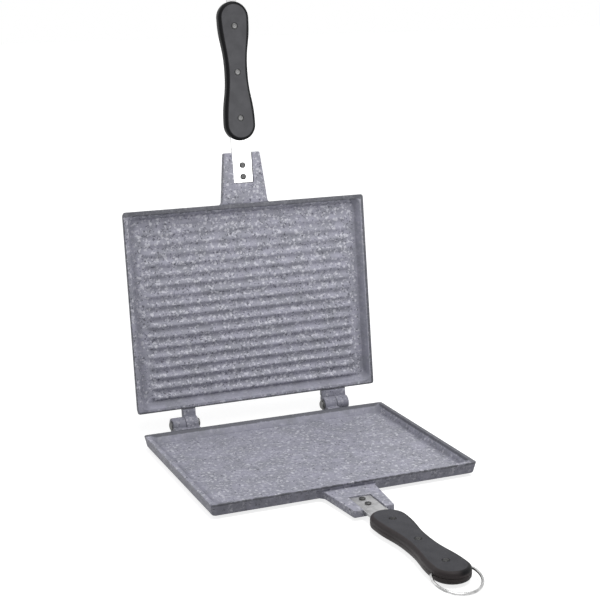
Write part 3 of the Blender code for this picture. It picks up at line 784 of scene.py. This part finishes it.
PLATE_PROFILE = (
    # inset from the outline, height, radius of the fillet, radius of the rectangle's corners
    (PANEL_FOOT + PANEL_LEDGE, PANEL_FACE, 0, PANEL_CORNER),
    (PANEL_FOOT, PANEL_FACE, PANEL_FOOT_ROUND, PANEL_CORNER),
    (PANEL_EDGE, CLOSING_HEIGHT, PANEL_LIP_ROUND, PANEL_CORNER),
    (BASE_EDGE, CLOSING_HEIGHT, BASE_LIP_ROUND, BASE_CORNER),
    (BASE_EDGE - BASE_DRAFT, WALL_HEIGHT, BASE_FOOT_ROUND, BASE_CORNER),
    (WALL_DRAFT, WALL_HEIGHT, PLATE_ROUND, PLATE_CORNER),
    (0, RIM_FACE, RIM_OUTER_ROUND, PLATE_CORNER),
    (RIM_WIDTH, RIM_FACE, RIM_INNER_ROUND, CAVITY_CORNER),
    (FLOOR_START, FLOOR_FACE, CAVITY_ROUND, CAVITY_CORNER),
    (FLOOR_START + FLOOR_LEDGE, FLOOR_FACE, 0, CAVITY_CORNER - FLOOR_LEDGE / 2),
)


def plate_loops():
    """Loops from the panel under the plate to the floor in it."""
    return [
        rounded_rectangle(PLATE_WIDTH - 2 * inset, PLATE_DEPTH - 2 * inset, corner, height)
        for inset, height, corner in filleted(PLATE_PROFILE)
    ]


def pad_loops(count):
    """Loops of the round pad in the middle of the panel, from its face down to the panel."""
    face_radius = PAD_RADIUS - PAD_EDGE
    side = CLOSING_HEIGHT - PAD_EDGE
    path = ((face_radius, CLOSING_HEIGHT), (PAD_RADIUS, side), (PAD_RADIUS, PANEL_FACE))
    turns = [math.tau * (number - CORNER_STEPS / 2) / count + math.pi / 4 for number in range(count)]
    return [
        [(radius * math.cos(turn), PLATE_MIDDLE + radius * math.sin(turn), height) for turn in turns]
        for radius, height in path
    ]


print("a plate is", len(plate_loops()), "loops of", len(plate_loops()[0]), "points")

# %% [markdown]
# The upper plate's floor has eighteen straight ribs with round ends, which brown the bread in stripes.
# Eighteen rounded bars could be joined to it, but a cast rib grows out of its floor without an edge. So a
# grid over the ribbed area is raised by a formula: how high a rib is at a distance from its middle line.
# The rows of the grid are close where a rib curves, and the columns only where it ends.

# %% Ribs
RIB_PITCH = 0.0096
RIB_WIDTH = 0.0066
RIB_HEIGHT = 0.0022
RIB_MARGIN = 0.0006
RIB_REACH = 0.0043
RIB_LEVEL = 0.099
RIB_END_REACH = 0.0075
RIB_FADE = 0.55
RIB_FADE_START = -0.2
RIB_FADE_END = 0.8
FLOOR_EDGE = 0.0015
ROW_GAP = 0.0003
RIB_ROW_SHARES = (-1, -0.85, -0.7, -0.56, -0.42, -0.28, -0.14, 0, 0.14, 0.28, 0.42, 0.56, 0.7, 0.85, 1)


def rib_rise(share):
    """Height of a rib, as a share of its full height, at a share of its reach from the middle."""
    return (1 + math.cos(math.pi * min(abs(share), 1))) / 2


def rib_grid():
    """The grid's columns, and its rows as (place, middle of the rib). The two border rows belong to a rib a
    whole plate away, which leaves them on the floor."""
    depth = PLATE_DEPTH - 2 * FLOOR_START
    count = int((depth - 2 * RIB_MARGIN - RIB_WIDTH) / RIB_PITCH) + 1
    end = [RIB_LEVEL + RIB_END_REACH * share for share in RIB_ROW_SHARES if share >= 0]
    limit = depth / 2 - FLOOR_EDGE
    middles = [(number - (count - 1) / 2) * RIB_PITCH for number in range(count)]
    rows = [(middle + RIB_REACH * share, middle) for middle in middles for share in RIB_ROW_SHARES]
    rows = [(place, middle) for place, middle in rows if abs(place) < limit - ROW_GAP]
    return [-x for x in reversed(end)] + end, [(-limit, PLATE_DEPTH), *rows, (limit, PLATE_DEPTH)]


def rib_height(place):
    """The ribs fade towards the lug, so they are a little lower there."""
    forwards = min(max(-place / (PLATE_DEPTH / 2), RIB_FADE_START), RIB_FADE_END)
    return RIB_HEIGHT * (1 - RIB_FADE * (forwards - RIB_FADE_START))


print("rib grid of", len(rib_grid()[0]), "columns and", len(rib_grid()[1]), "rows")


# %% The pan of a plate
def loop_edges(bm, verts):
    return [bm.edges.get((verts[this - 1], verts[this])) for this in range(len(verts))]


def ribbed_floor(bm):
    """The raised grid. Returns the edges of its border."""
    columns, rows = rib_grid()
    grid = []
    for place, middle in rows:
        line = []
        for x in columns:
            along = max(abs(x) - RIB_LEVEL, 0) / RIB_END_REACH
            share = math.hypot(along, (place - middle) / RIB_REACH)
            height = FLOOR_FACE - rib_height(place) * rib_rise(share)
            line.append(bm.verts.new((x, PLATE_MIDDLE + place, height)))
        grid.append(line)
    for low, high in zip(grid, grid[1:]):
        for this in range(len(columns) - 1):
            bm.faces.new((low[this], low[this + 1], high[this + 1], high[this]))
    sides = [line[-1] for line in grid[1:-1]], [line[0] for line in grid[-2:0:-1]]
    return loop_edges(bm, [*grid[0], *sides[0], *reversed(grid[-1]), *sides[1]])


def pan_mesh(name, ribbed):
    """The plate without its lug and ears."""
    bm = bmesh.new()
    outer, inner = loft(bm, plate_loops())
    pad_top, pad_foot = loft(bm, pad_loops(len(outer)))
    bm.faces.new(pad_top)
    for this in range(len(outer)):
        bm.faces.new((outer[this - 1], outer[this], pad_foot[this], pad_foot[this - 1]))
    if ribbed:
        edges = ribbed_floor(bm) + loop_edges(bm, inner)
        bmesh.ops.triangle_fill(bm, use_beauty=True, use_dissolve=False, edges=edges)
    else:
        bm.faces.new(inner)
    return mesh_of(bm, name)


print("pad", 2 * PAD_RADIUS, "m wide in the middle of the panel")

# %% [markdown]
# Flat shapes with rounded edges, such as a lug, an ear or a strap, come from a 2D curve: its outline is
# filleted first, then extruded, and the curve's own bevel rounds the two rims. The curve is inset by as
# much as the bevel adds, so that the outline keeps its size.

# %% Slabs from outlines
EDGE_STEPS = 3


def outline_from(points):
    """A closed outline from (x, y, radius), with each corner rounded."""
    ring = [(*points[-1], 0), *[(*point, 0) for point in points], (*points[0], 0)]
    return [(x, y) for x, y, _ in filleted(ring)[1:-1]]


def mirrored(points):
    """The outline whose right half is given, from the start of the axis to its end."""
    return list(points) + [(-x, *rest) for x, *rest in reversed(points)]


def curve_mesh(name, points, turn=Matrix(), **settings):
    """The mesh of a curve straight from point to point, with the seams of its caps welded."""
    curve = bpy.data.curves.new(name, "CURVE")
    for key, value in settings.items():
        setattr(curve, key, value)
    spline = curve.splines.new("POLY")
    spline.points.add(len(points) - 1)
    for point, (x, y) in zip(spline.points, points):
        point.co = (x, y, 0, 1)
    spline.use_cyclic_u = curve.dimensions == "2D"
    holder = put(name, curve, Matrix())
    mesh = finished_mesh(holder)
    bpy.data.objects.remove(holder)
    bm = bmesh.new()
    bm.from_mesh(mesh)
    bmesh.ops.remove_doubles(bm, verts=bm.verts, dist=WELD)
    bmesh.ops.transform(bm, matrix=turn, verts=bm.verts)
    return mesh_of(bm, name)


def slab_mesh(name, outline, low, high, edge, turn=Matrix()):
    """An outline between two heights, with both its rims rounded by edge."""
    return curve_mesh(
        name,
        outline,
        turn @ Matrix.Translation((0, 0, (low + high) / 2)),
        dimensions="2D",
        fill_mode="BOTH",
        extrude=(high - low) / 2 - edge,
        bevel_depth=edge,
        bevel_resolution=EDGE_STEPS,
        offset=-edge,
    )


print("a slab's rim is rounded in", EDGE_STEPS + 1, "steps")

# %% [markdown]
# Rivets, pins and washers are round, so each is half a profile turned about its axis, and so are the drills
# that cut their holes. A cylinder would only look right from far off.

# %% Turned shapes
ACROSS = Matrix(((0, 0, 1), (1, 0, 0), (0, 1, 0))).to_4x4()


def turned_mesh(name, profile, sides, turn=Matrix()):
    """A closed profile of (radius, height) turned about Z. Points on the axis become poles."""
    turns = [math.tau * number / sides for number in range(sides)]
    loops = [
        [(radius * math.cos(angle), radius * math.sin(angle), height) for angle in (turns if radius else [0])]
        for radius, height in profile
    ]
    bm = bmesh.new()
    loft(bm, loops, closed=profile[0][0] > 0)
    bmesh.ops.transform(bm, matrix=turn, verts=bm.verts)
    return mesh_of(bm, name)


def drill_mesh(radius, reach, sides, turn):
    profile = [(0, reach), (radius, reach), (radius, -reach), (0, -reach)]
    return turned_mesh("drill", profile, sides, turn)


print("ACROSS lays an axis along", (ACROSS @ Vector((0, 0, 1)))[:])

# %% [markdown]
# The lug at the front of each plate carries the strap. It tapers away from the plate, and a channel in its
# face leaves two cheeks that keep the strap from turning. Where it meets the plate, its outline flares with
# the fillet that a casting needs there.

# %% Lug
LUG_ROOT_WIDTH = 0.0459
LUG_END_WIDTH = 0.0359
LUG_FACE = 0.0045
LUG_THICKNESS = 0.0063
LUG_FLARE = 0.003
LUG_BURIED = 0.006
LUG_END_ROUND = 0.0016
LUG_ROOT_ROUND = 0.003
LUG_ROOT_STEP = 0.001
LUG_EDGE = 0.0007
CHANNEL_EDGE = 0.0004
STRAP_WIDTH = 0.0194
STRAP_THICKNESS = 0.002
STRAP_SEAT = 0.0287
STRAP_END_ROUND = 0.0008
LUG_OUTER = LUG_FACE + LUG_THICKNESS
STRAP_START = LUG_END + STRAP_SEAT
OVERRUN = 0.002


def lug_mesh():
    """The tapered slab, with the flare at its root."""
    bend = PLATE_FRONT - LUG_ROOT_STEP
    flare = LUG_ROOT_WIDTH / 2 + LUG_FLARE
    right = [
        (LUG_END_WIDTH / 2, LUG_END, LUG_END_ROUND),
        (LUG_ROOT_WIDTH / 2, bend, LUG_ROOT_ROUND),
        (flare, bend + LUG_FLARE, 0),
        (flare, PLATE_FRONT + LUG_BURIED, 0),
    ]
    return slab_mesh("lug", outline_from(mirrored(right)), LUG_FACE, LUG_OUTER, LUG_EDGE)


def add_lug(plate):
    """Cuts the strap's channel into the lug, and joins the lug to its plate."""
    lug = put("lug", lug_mesh(), plate.matrix_world)
    side = STRAP_WIDTH / 2 + GAP
    right = [(side, LUG_END - OVERRUN, 0), (side, STRAP_START + GAP, STRAP_END_ROUND)]
    outline = outline_from(mirrored(right))
    seat = STRAP_HEIGHT + STRAP_THICKNESS / 2 + GAP
    combine(lug, slab_mesh("channel", outline, LUG_FACE - OVERRUN, seat, CHANNEL_EDGE), "DIFFERENCE")
    combine(plate, lug.data, "UNION")
    bpy.data.objects.remove(lug)


print("lug from", round(PLATE_FRONT, 4), "to", round(LUG_END, 4))

# %% [markdown]
# The ears interleave when one plate is turned over: each hinge has the lower plate's ear on one side and
# the upper plate's on the other, round a knuckle. The left ear keeps a square heel, which meets the other
# plate's root and stops the lid when it is open.

# %% Outlines of the ear and its root
HINGE_INSET = 0.0439
HINGE_WIDTH = 0.0248
KNUCKLE_RADIUS = 0.007
ARM_FACE = 0.0005
ARM_OUTER = 0.0066
ROOT_STEP = 0.0004
PIN_RADIUS = 0.0025
HINGE_OFFSET = PLATE_WIDTH / 2 - HINGE_INSET
HEEL_ROUND = 0.0008
KNUCKLE_STEP = math.radians(9)


def knuckle_arc(start, end):
    steps = math.ceil((end - start) / KNUCKLE_STEP)
    angles = [start + (end - start) * step / steps for step in range(steps + 1)]
    return [(KNUCKLE_RADIUS * math.cos(angle), KNUCKLE_RADIUS * math.sin(angle)) for angle in angles]


def heel_corner():
    """The heel's slightly rounded square corner, at the back and low."""
    middle = KNUCKLE_RADIUS - HEEL_ROUND
    turns = [math.radians(270 + 90 * step / FILLET_STEPS) for step in range(FILLET_STEPS + 1)]
    return [(middle + HEEL_ROUND * math.cos(turn), HEEL_ROUND * math.sin(turn) - middle) for turn in turns]


def ear_outline(has_heel):
    """An ear seen along the hinge, as (back, height): an arm from the wall to the knuckle."""
    wall = PLATE_BACK - RIM_WIDTH / 2
    near = math.pi - math.asin(ARM_FACE / KNUCKLE_RADIUS)
    far = math.pi - math.asin(ARM_OUTER / KNUCKLE_RADIUS)
    under = 1.5 * math.pi
    heel = heel_corner() if has_heel else knuckle_arc(under, math.tau)[1:-1]
    arm = [(wall, ARM_OUTER), (wall, ARM_FACE)]
    return [*arm, *knuckle_arc(near, under), *heel, *knuckle_arc(math.tau, math.tau + far)]


def root_outline():
    """The root beside an ear: its end is parallel to the other half's open heel."""
    wall = PLATE_BACK - RIM_WIDTH / 2
    heights = (ARM_FACE + ROOT_STEP, ARM_OUTER - ROOT_STEP)
    reach = KNUCKLE_RADIUS + GAP
    ends = [(height * math.cos(OPEN_ANGLE) - reach) / math.sin(OPEN_ANGLE) for height in heights]
    return [(wall, heights[1]), (wall, heights[0]), (ends[0], heights[0]), (ends[1], heights[1])]


print("an ear has", len(ear_outline(False)), "points, with its heel", len(ear_outline(True)))

# %% Hinge ears
EAR_EDGE = 0.0005
ROOT_EDGE = 0.0004
ROOT_OVERLAP = 0.0012
BORE_SIDES = 40


def add_ears(plate):
    """One root, two ears and the bore for both pins."""
    start = HINGE_OFFSET - HINGE_WIDTH / 2
    end = HINGE_OFFSET + GAP / 2 + ROOT_OVERLAP
    combine(plate, slab_mesh("root", root_outline(), start, end, ROOT_EDGE, ACROSS), "UNION")
    for side, has_heel in ((-1, True), (1, False)):
        low = side * HINGE_OFFSET + GAP / 2
        high = side * HINGE_OFFSET + HINGE_WIDTH / 2
        combine(plate, slab_mesh("ear", ear_outline(has_heel), low, high, EAR_EDGE, ACROSS), "UNION")
    combine(plate, drill_mesh(PIN_RADIUS + GAP, PLATE_WIDTH / 2, BORE_SIDES, ACROSS), "DIFFERENCE")


print("hinges at", HINGE_OFFSET, "each side, knuckle", KNUCKLE_RADIUS)

# %% Both plates
for half, (body, matrix) in BODIES.items():
    plate = put(f"{half}_plate_casting", pan_mesh(f"{half}_pan", half == "upper"), matrix)
    add_lug(plate)
    add_ears(plate)
    dress(plate, granite_coats[half], body, "granite_coating", f"{half}_plate")

# %% [markdown]
# The strap is a strip of bright steel. It lies in the lug's channel, runs bare to the handle, and narrows
# inside it. The upper one comes out at the handle's tip as a small tab that the ring slips over.

# %% Straps
STRAP_IN_HANDLE = 0.016
TANG_WIDTH = 0.0094
TANG_SHOULDER = 0.006
TAB_LENGTH = 0.0052
TANG_STOP = 0.0130
TANG_END_ROUND = 0.0012
SHOULDER_ROUND = 0.002
STRAP_EDGE = 0.0003
STRAP_ENDS = {"lower": HANDLE_TIP + TANG_STOP, "upper": HANDLE_TIP - TAB_LENGTH}


def strap_outline(end, clearance=0.0):
    """The strap from its end to its seat in the lug, or its pocket where there is a clearance."""
    wide = STRAP_WIDTH / 2 + clearance
    narrow = TANG_WIDTH / 2 + clearance
    wide_end = HANDLE_BASE - STRAP_IN_HANDLE - clearance
    right = [
        (narrow, end - clearance, TANG_END_ROUND),
        (narrow, wide_end - TANG_SHOULDER, SHOULDER_ROUND),
        (wide, wide_end, SHOULDER_ROUND),
        (wide, STRAP_START + clearance, STRAP_END_ROUND),
    ]
    return outline_from(mirrored(right))


for half, (body, matrix) in BODIES.items():
    low = STRAP_HEIGHT - STRAP_THICKNESS / 2
    outline = strap_outline(STRAP_ENDS[half])
    strip = slab_mesh(f"{half}_strap", outline, low, low + STRAP_THICKNESS, STRAP_EDGE)
    strap = put(f"{half}_strap_strip", strip, matrix)
    dress(strap, strap_steel[half], body, "strap_steel", f"{half}_strap")

# %% [markdown]
# A handle is a waisted bar in two halves, riveted over the strap. Its outline is eight Bezier knots, its
# edge a wide round, and a box cuts it in two at the strap's middle. A pocket for the strap and the seats of
# the rivets are cut afterwards.

# %% Outline of the handle
WAIST_SHARE = 0.5
CIRCLE_SHARE = 0.5523
HANDLE_STEPS = 14


def handle_knots():
    """Each knot's place and the pulls of its two handles."""
    end = HANDLE_END_WIDTH / 2
    waist = HANDLE_WAIST_WIDTH / 2
    pull = end * CIRCLE_SHARE
    swell = (HANDLE_LENGTH / 2 - end) * WAIST_SHARE
    right = [
        ((end, HANDLE_TIP + end), (0, -pull), (0, swell)),
        ((waist, (HANDLE_BASE + HANDLE_TIP) / 2), (0, -swell), (0, swell)),
        ((end, HANDLE_BASE - end), (0, -swell), (0, pull)),
    ]
    left = [((-x, y), after, before) for (x, y), before, after in reversed(right)]
    tip = ((0, HANDLE_TIP), (-pull, 0), (pull, 0))
    return [tip, *right, ((0, HANDLE_BASE), (pull, 0), (-pull, 0)), *left]


def handle_outline():
    """Points along the Bezier curve through the knots."""
    knots = handle_knots()
    points = []
    for this, (place, _, after) in enumerate(knots):
        end, before, _ = knots[(this + 1) % len(knots)]
        controls = [Vector(place), Vector(place) + Vector(after), Vector(end) + Vector(before), Vector(end)]
        for step in range(HANDLE_STEPS):
            t = step / HANDLE_STEPS
            weights = ((1 - t) ** 3, 3 * t * (1 - t) ** 2, 3 * t * t * (1 - t), t**3)
            points.append(tuple(sum((c * w for c, w in zip(controls, weights)), Vector((0, 0)))))
    return points


print("handle outline of", len(handle_outline()), "points")

# %% Handles
HANDLE_ROUND = 0.003
HANDLE_RIVET_FIRST = 0.0230
HANDLE_RIVET_LAST = 0.0210
HANDLE_RIVET_RADIUS = 0.0027
HANDLE_RIVET_SINK = 0.0009
POCKET_EDGE = 0.0001
SEAT_SIDES = 32
SEAT_BEVEL = 0.0004
SEAT_BEVEL_LOW = 0.0003
SEAT_BEVEL_HIGH = 0.0002
WIRE_BORE_SIDES = 24
WIRE_RADIUS = 0.0011
RING_PIVOT = HANDLE_TIP + HANDLE_END_WIDTH / 2
rivet_pitch = (HANDLE_LENGTH - HANDLE_RIVET_FIRST - HANDLE_RIVET_LAST) / 2
HANDLE_RIVETS = [HANDLE_TIP + HANDLE_RIVET_FIRST + number * rivet_pitch for number in range(3)]


def box_mesh(low, high):
    bm = bmesh.new()
    bmesh.ops.create_cube(bm, size=1)
    for vertex in bm.verts:
        vertex.co = [least + (most - least) * (at + 0.5) for least, most, at in zip(low, high, vertex.co)]
    return mesh_of(bm, "box")


def seat_profile(face):
    """A rivet's seat, sunk into the handle's face and a little wider at its mouth."""
    top = HANDLE_THICKNESS / 2
    radius = HANDLE_RIVET_RADIUS + GAP
    seat = [
        (0, top - HANDLE_RIVET_SINK),
        (radius, top - HANDLE_RIVET_SINK),
        (radius, top - SEAT_BEVEL_LOW),
        (radius + SEAT_BEVEL, top + SEAT_BEVEL_HIGH),
        (radius + SEAT_BEVEL, top + OVERRUN),
        (0, top + OVERRUN),
    ]
    return [(radius, face * height) for radius, height in seat]


def make_scale(half, word, face):
    """One half of a handle: face is -1 for the side towards the other handle and 1 for the outer side."""
    body, matrix = BODIES[half]
    low = STRAP_HEIGHT - HANDLE_THICKNESS / 2
    bar = slab_mesh(f"{half}_bar", handle_outline(), low, low + HANDLE_THICKNESS, HANDLE_ROUND)
    scale = put(f"{half}_handle_{word}_scale", bar, matrix)
    wide = HANDLE_END_WIDTH
    parting = STRAP_HEIGHT + face * GAP / 2
    spans = sorted((parting, STRAP_HEIGHT + face * HANDLE_THICKNESS))
    keep = box_mesh((-wide, HANDLE_TIP - OVERRUN, spans[0]), (wide, HANDLE_BASE + OVERRUN, spans[1]))
    combine(scale, keep, "INTERSECT")
    thick = STRAP_THICKNESS / 2 + GAP
    outline = strap_outline(STRAP_ENDS[half], GAP)
    pocket = slab_mesh("pocket", outline, STRAP_HEIGHT - thick, STRAP_HEIGHT + thick, POCKET_EDGE)
    combine(scale, pocket, "DIFFERENCE")
    for place in HANDLE_RIVETS:
        turn = Matrix.Translation((0, place, STRAP_HEIGHT))
        combine(scale, turned_mesh("seat", seat_profile(face), SEAT_SIDES, turn), "DIFFERENCE")
    if half == "lower":
        turn = Matrix.Translation((0, RING_PIVOT, STRAP_HEIGHT)) @ ACROSS
        combine(scale, drill_mesh(WIRE_RADIUS + GAP, wide, WIRE_BORE_SIDES, turn), "DIFFERENCE")
    dress(scale, black_plastic[half], body, "black_bakelite", f"{half}_handle_{word}")


for half in BODIES:
    make_scale(half, "inner", -1)
    make_scale(half, "outer", 1)

# %% [markdown]
# A rivet's head is a low dome with a short straight edge, and a real one shows the small dimple of the
# punch that closed it. So its profile is worked out point by point. A flattened sphere would have neither.

# %% Rivets
STRAP_RIVET_FIRST = 0.0121
STRAP_RIVET_PITCH = 0.0109
STRAP_RIVET_RADIUS = 0.0028
STRAP_RIVET_HEIGHT = 0.0011
STRAP_RIVET_SHANK = 0.0017
STRAP_RIVET_COUNT = 2
HANDLE_RIVET_HEIGHT = 0.0012
HANDLE_RIVET_SHANK = 0.0016
EDGE_SHARE = 0.25
EDGE_CUT = (0.3, 0.2)
DIMPLE_SHARE = 0.30
DIMPLE_SHAPE = ((0, 0.72), (0.6, 0.74), (1, 0.95))
DOME_STEPS = 6
RIVET_SIDES = 32


def head_profile(radius, height, shank, grip):
    """Half a rivet, from the middle of its head to its shank: a dimple, a dome, an edge."""
    edge = height * EDGE_SHARE
    dimple = radius * DIMPLE_SHARE
    rim = grip / 2 + edge
    dome = height - edge
    points = [(dimple * across, rim + dome * up) for across, up in DIMPLE_SHAPE]
    for step in range(2, DOME_STEPS + 1):
        angle = math.pi / 2 * step / DOME_STEPS
        points.append((radius * math.sin(angle), rim + dome * math.cos(angle)))
    foot = grip / 2
    across, up = EDGE_CUT
    return points + [(radius, foot + edge * up), (radius - edge * across, foot), (shank, foot)]


def rivet(node, profile, place, half, material, slot, turn=Matrix()):
    """A rivet or pin with the same head at both ends."""
    body, matrix = BODIES[half]
    whole = profile + [(radius, -height) for radius, height in reversed(profile)]
    mesh = turned_mesh(node, whole, RIVET_SIDES, Matrix.Translation(place) @ turn)
    dress(put(f"{node}_turned", mesh, matrix), material, body, slot, node)


strap_face = STRAP_HEIGHT - STRAP_THICKNESS / 2
strap_grip = LUG_OUTER - strap_face + 2 * GAP
strap_head = head_profile(STRAP_RIVET_RADIUS, STRAP_RIVET_HEIGHT, STRAP_RIVET_SHANK, strap_grip)
handle_grip = HANDLE_THICKNESS - 2 * HANDLE_RIVET_SINK + 2 * GAP
handle_head = head_profile(HANDLE_RIVET_RADIUS, HANDLE_RIVET_HEIGHT, HANDLE_RIVET_SHANK, handle_grip)
first = LUG_END + STRAP_RIVET_FIRST
strap_rivets = [first + number * STRAP_RIVET_PITCH for number in range(STRAP_RIVET_COUNT)]
for half in BODIES:
    kinds = (
        ("strap", strap_rivets, (LUG_OUTER + strap_face) / 2, strap_head, dull_rivets),
        ("handle", HANDLE_RIVETS, STRAP_HEIGHT, handle_head, handle_rivets[half]),
    )
    for kind, places, height, head, material in kinds:
        for number, along in enumerate(places, 1):
            name = f"{half}_{kind}_rivet_{number}"
            rivet(name, head, (0, along, height), half, material, "rivet_steel")

# %% [markdown]
# Each hinge turns on a short pin through both ears, with a washer under its head on the inner side. Neither
# shows in the photograph, but the hinge can't hold without them. They ride on the lower half.

# %% Hinge pins and washers
PIN_HEAD_RADIUS = 0.0042
PIN_HEAD_HEIGHT = 0.0016
WASHER_RADIUS = 0.0050
WASHER_THICKNESS = 0.0008
WASHER_EDGE = 0.0002

pin_grip = HINGE_WIDTH + 3 * GAP + WASHER_THICKNESS
pin_head = head_profile(PIN_HEAD_RADIUS, PIN_HEAD_HEIGHT, PIN_RADIUS, pin_grip)
bore = PIN_RADIUS + GAP
thick = WASHER_THICKNESS / 2
washer_profile = [  # (radius, height), all the way round
    (WASHER_RADIUS - WASHER_EDGE, thick),
    (WASHER_RADIUS, thick - WASHER_EDGE),
    (WASHER_RADIUS, WASHER_EDGE - thick),
    (WASHER_RADIUS - WASHER_EDGE, -thick),
    (bore, -thick),
    (bore, thick),
]
body, matrix = BODIES["lower"]
for side, word in ((1, "left"), (-1, "right")):
    middle = HINGE_OFFSET - (GAP + WASHER_THICKNESS) / 2
    rivet(f"hinge_pin_{word}", pin_head, (side * middle, 0, 0), "lower", hinge_steel, "hinge_steel", ACROSS)
    under_head = HINGE_OFFSET - HINGE_WIDTH / 2 - GAP - WASHER_THICKNESS / 2
    turn = Matrix.Translation((side * under_head, 0, 0)) @ ACROSS
    washer_mesh = turned_mesh("washer", washer_profile, RIVET_SIDES, turn)
    washer = put(f"hinge_washer_{word}_turned", washer_mesh, matrix)
    dress(washer, hinge_steel, body, "hinge_steel", f"hinge_washer_{word}")

# %% [markdown]
# The ring is one length of wire: straight ends in the handle's bore, a tight bend at each side and a wide
# loop. A torus would have neither ends nor bends, so it is a curve with a round bevel, made a mesh so that
# its caps are closed. At rest it droops until it all but touches the surface.

# %% Locking ring
RING_SIDE_GAP = 0.0023
RING_TIP_GAP = 0.0113
RING_BEND = 0.0025
RING_TAIL = 0.0046
RING_STEPS = 96
BEND_STEPS = 8
WIRE_STEPS = 5
RING_LIFT = GAP
RING_RADIUS = HANDLE_END_WIDTH / 2 + RING_SIDE_GAP + WIRE_RADIUS
RING_REACH = HANDLE_END_WIDTH / 2 + RING_TIP_GAP + WIRE_RADIUS


def ring_route():
    """The wire in its own plane, pivot at zero and hanging towards -Y."""
    drop = RING_REACH - RING_RADIUS
    corner = math.sqrt(RING_RADIUS**2 - drop**2)
    trim = RING_BEND * math.tan(math.acos(drop / RING_RADIUS) / 2)
    loop_angle = math.asin(drop / RING_RADIUS) - trim / RING_RADIUS
    sweep = math.pi + 2 * loop_angle
    turns = [loop_angle - sweep * step / RING_STEPS for step in range(RING_STEPS // 2 + 1)]
    loop = [Vector((RING_RADIUS * math.cos(turn), RING_RADIUS * math.sin(turn) - drop)) for turn in turns]
    first = Vector((corner - trim, 0))
    knee = Vector((corner, 0))
    bend = []
    for step in range(BEND_STEPS):
        t = step / BEND_STEPS
        bend.append(first * (1 - t) ** 2 + knee * 2 * t * (1 - t) + loop[0] * t**2)
    right = [Vector((HANDLE_END_WIDTH / 2 - RING_TAIL, 0)), *bend, *loop]
    return right + [Vector((-point.x, point.y)) for point in reversed(right[:-1])]


round_wire = {"dimensions": "3D", "bevel_depth": WIRE_RADIUS, "bevel_resolution": WIRE_STEPS}
wire = curve_mesh("ring", ring_route(), use_fill_caps=True, **round_wire)
droop = math.asin((PIVOT.z - WIRE_RADIUS - RING_LIFT) / RING_REACH)
hanging = Matrix.Translation(PIVOT) @ Matrix.Rotation(droop, 4, "X")
ring = put("locking_ring_wire", wire, hanging)
dress(ring, ring_wire, "locking ring", "ring_wire", "locking_ring")

# %% [markdown]
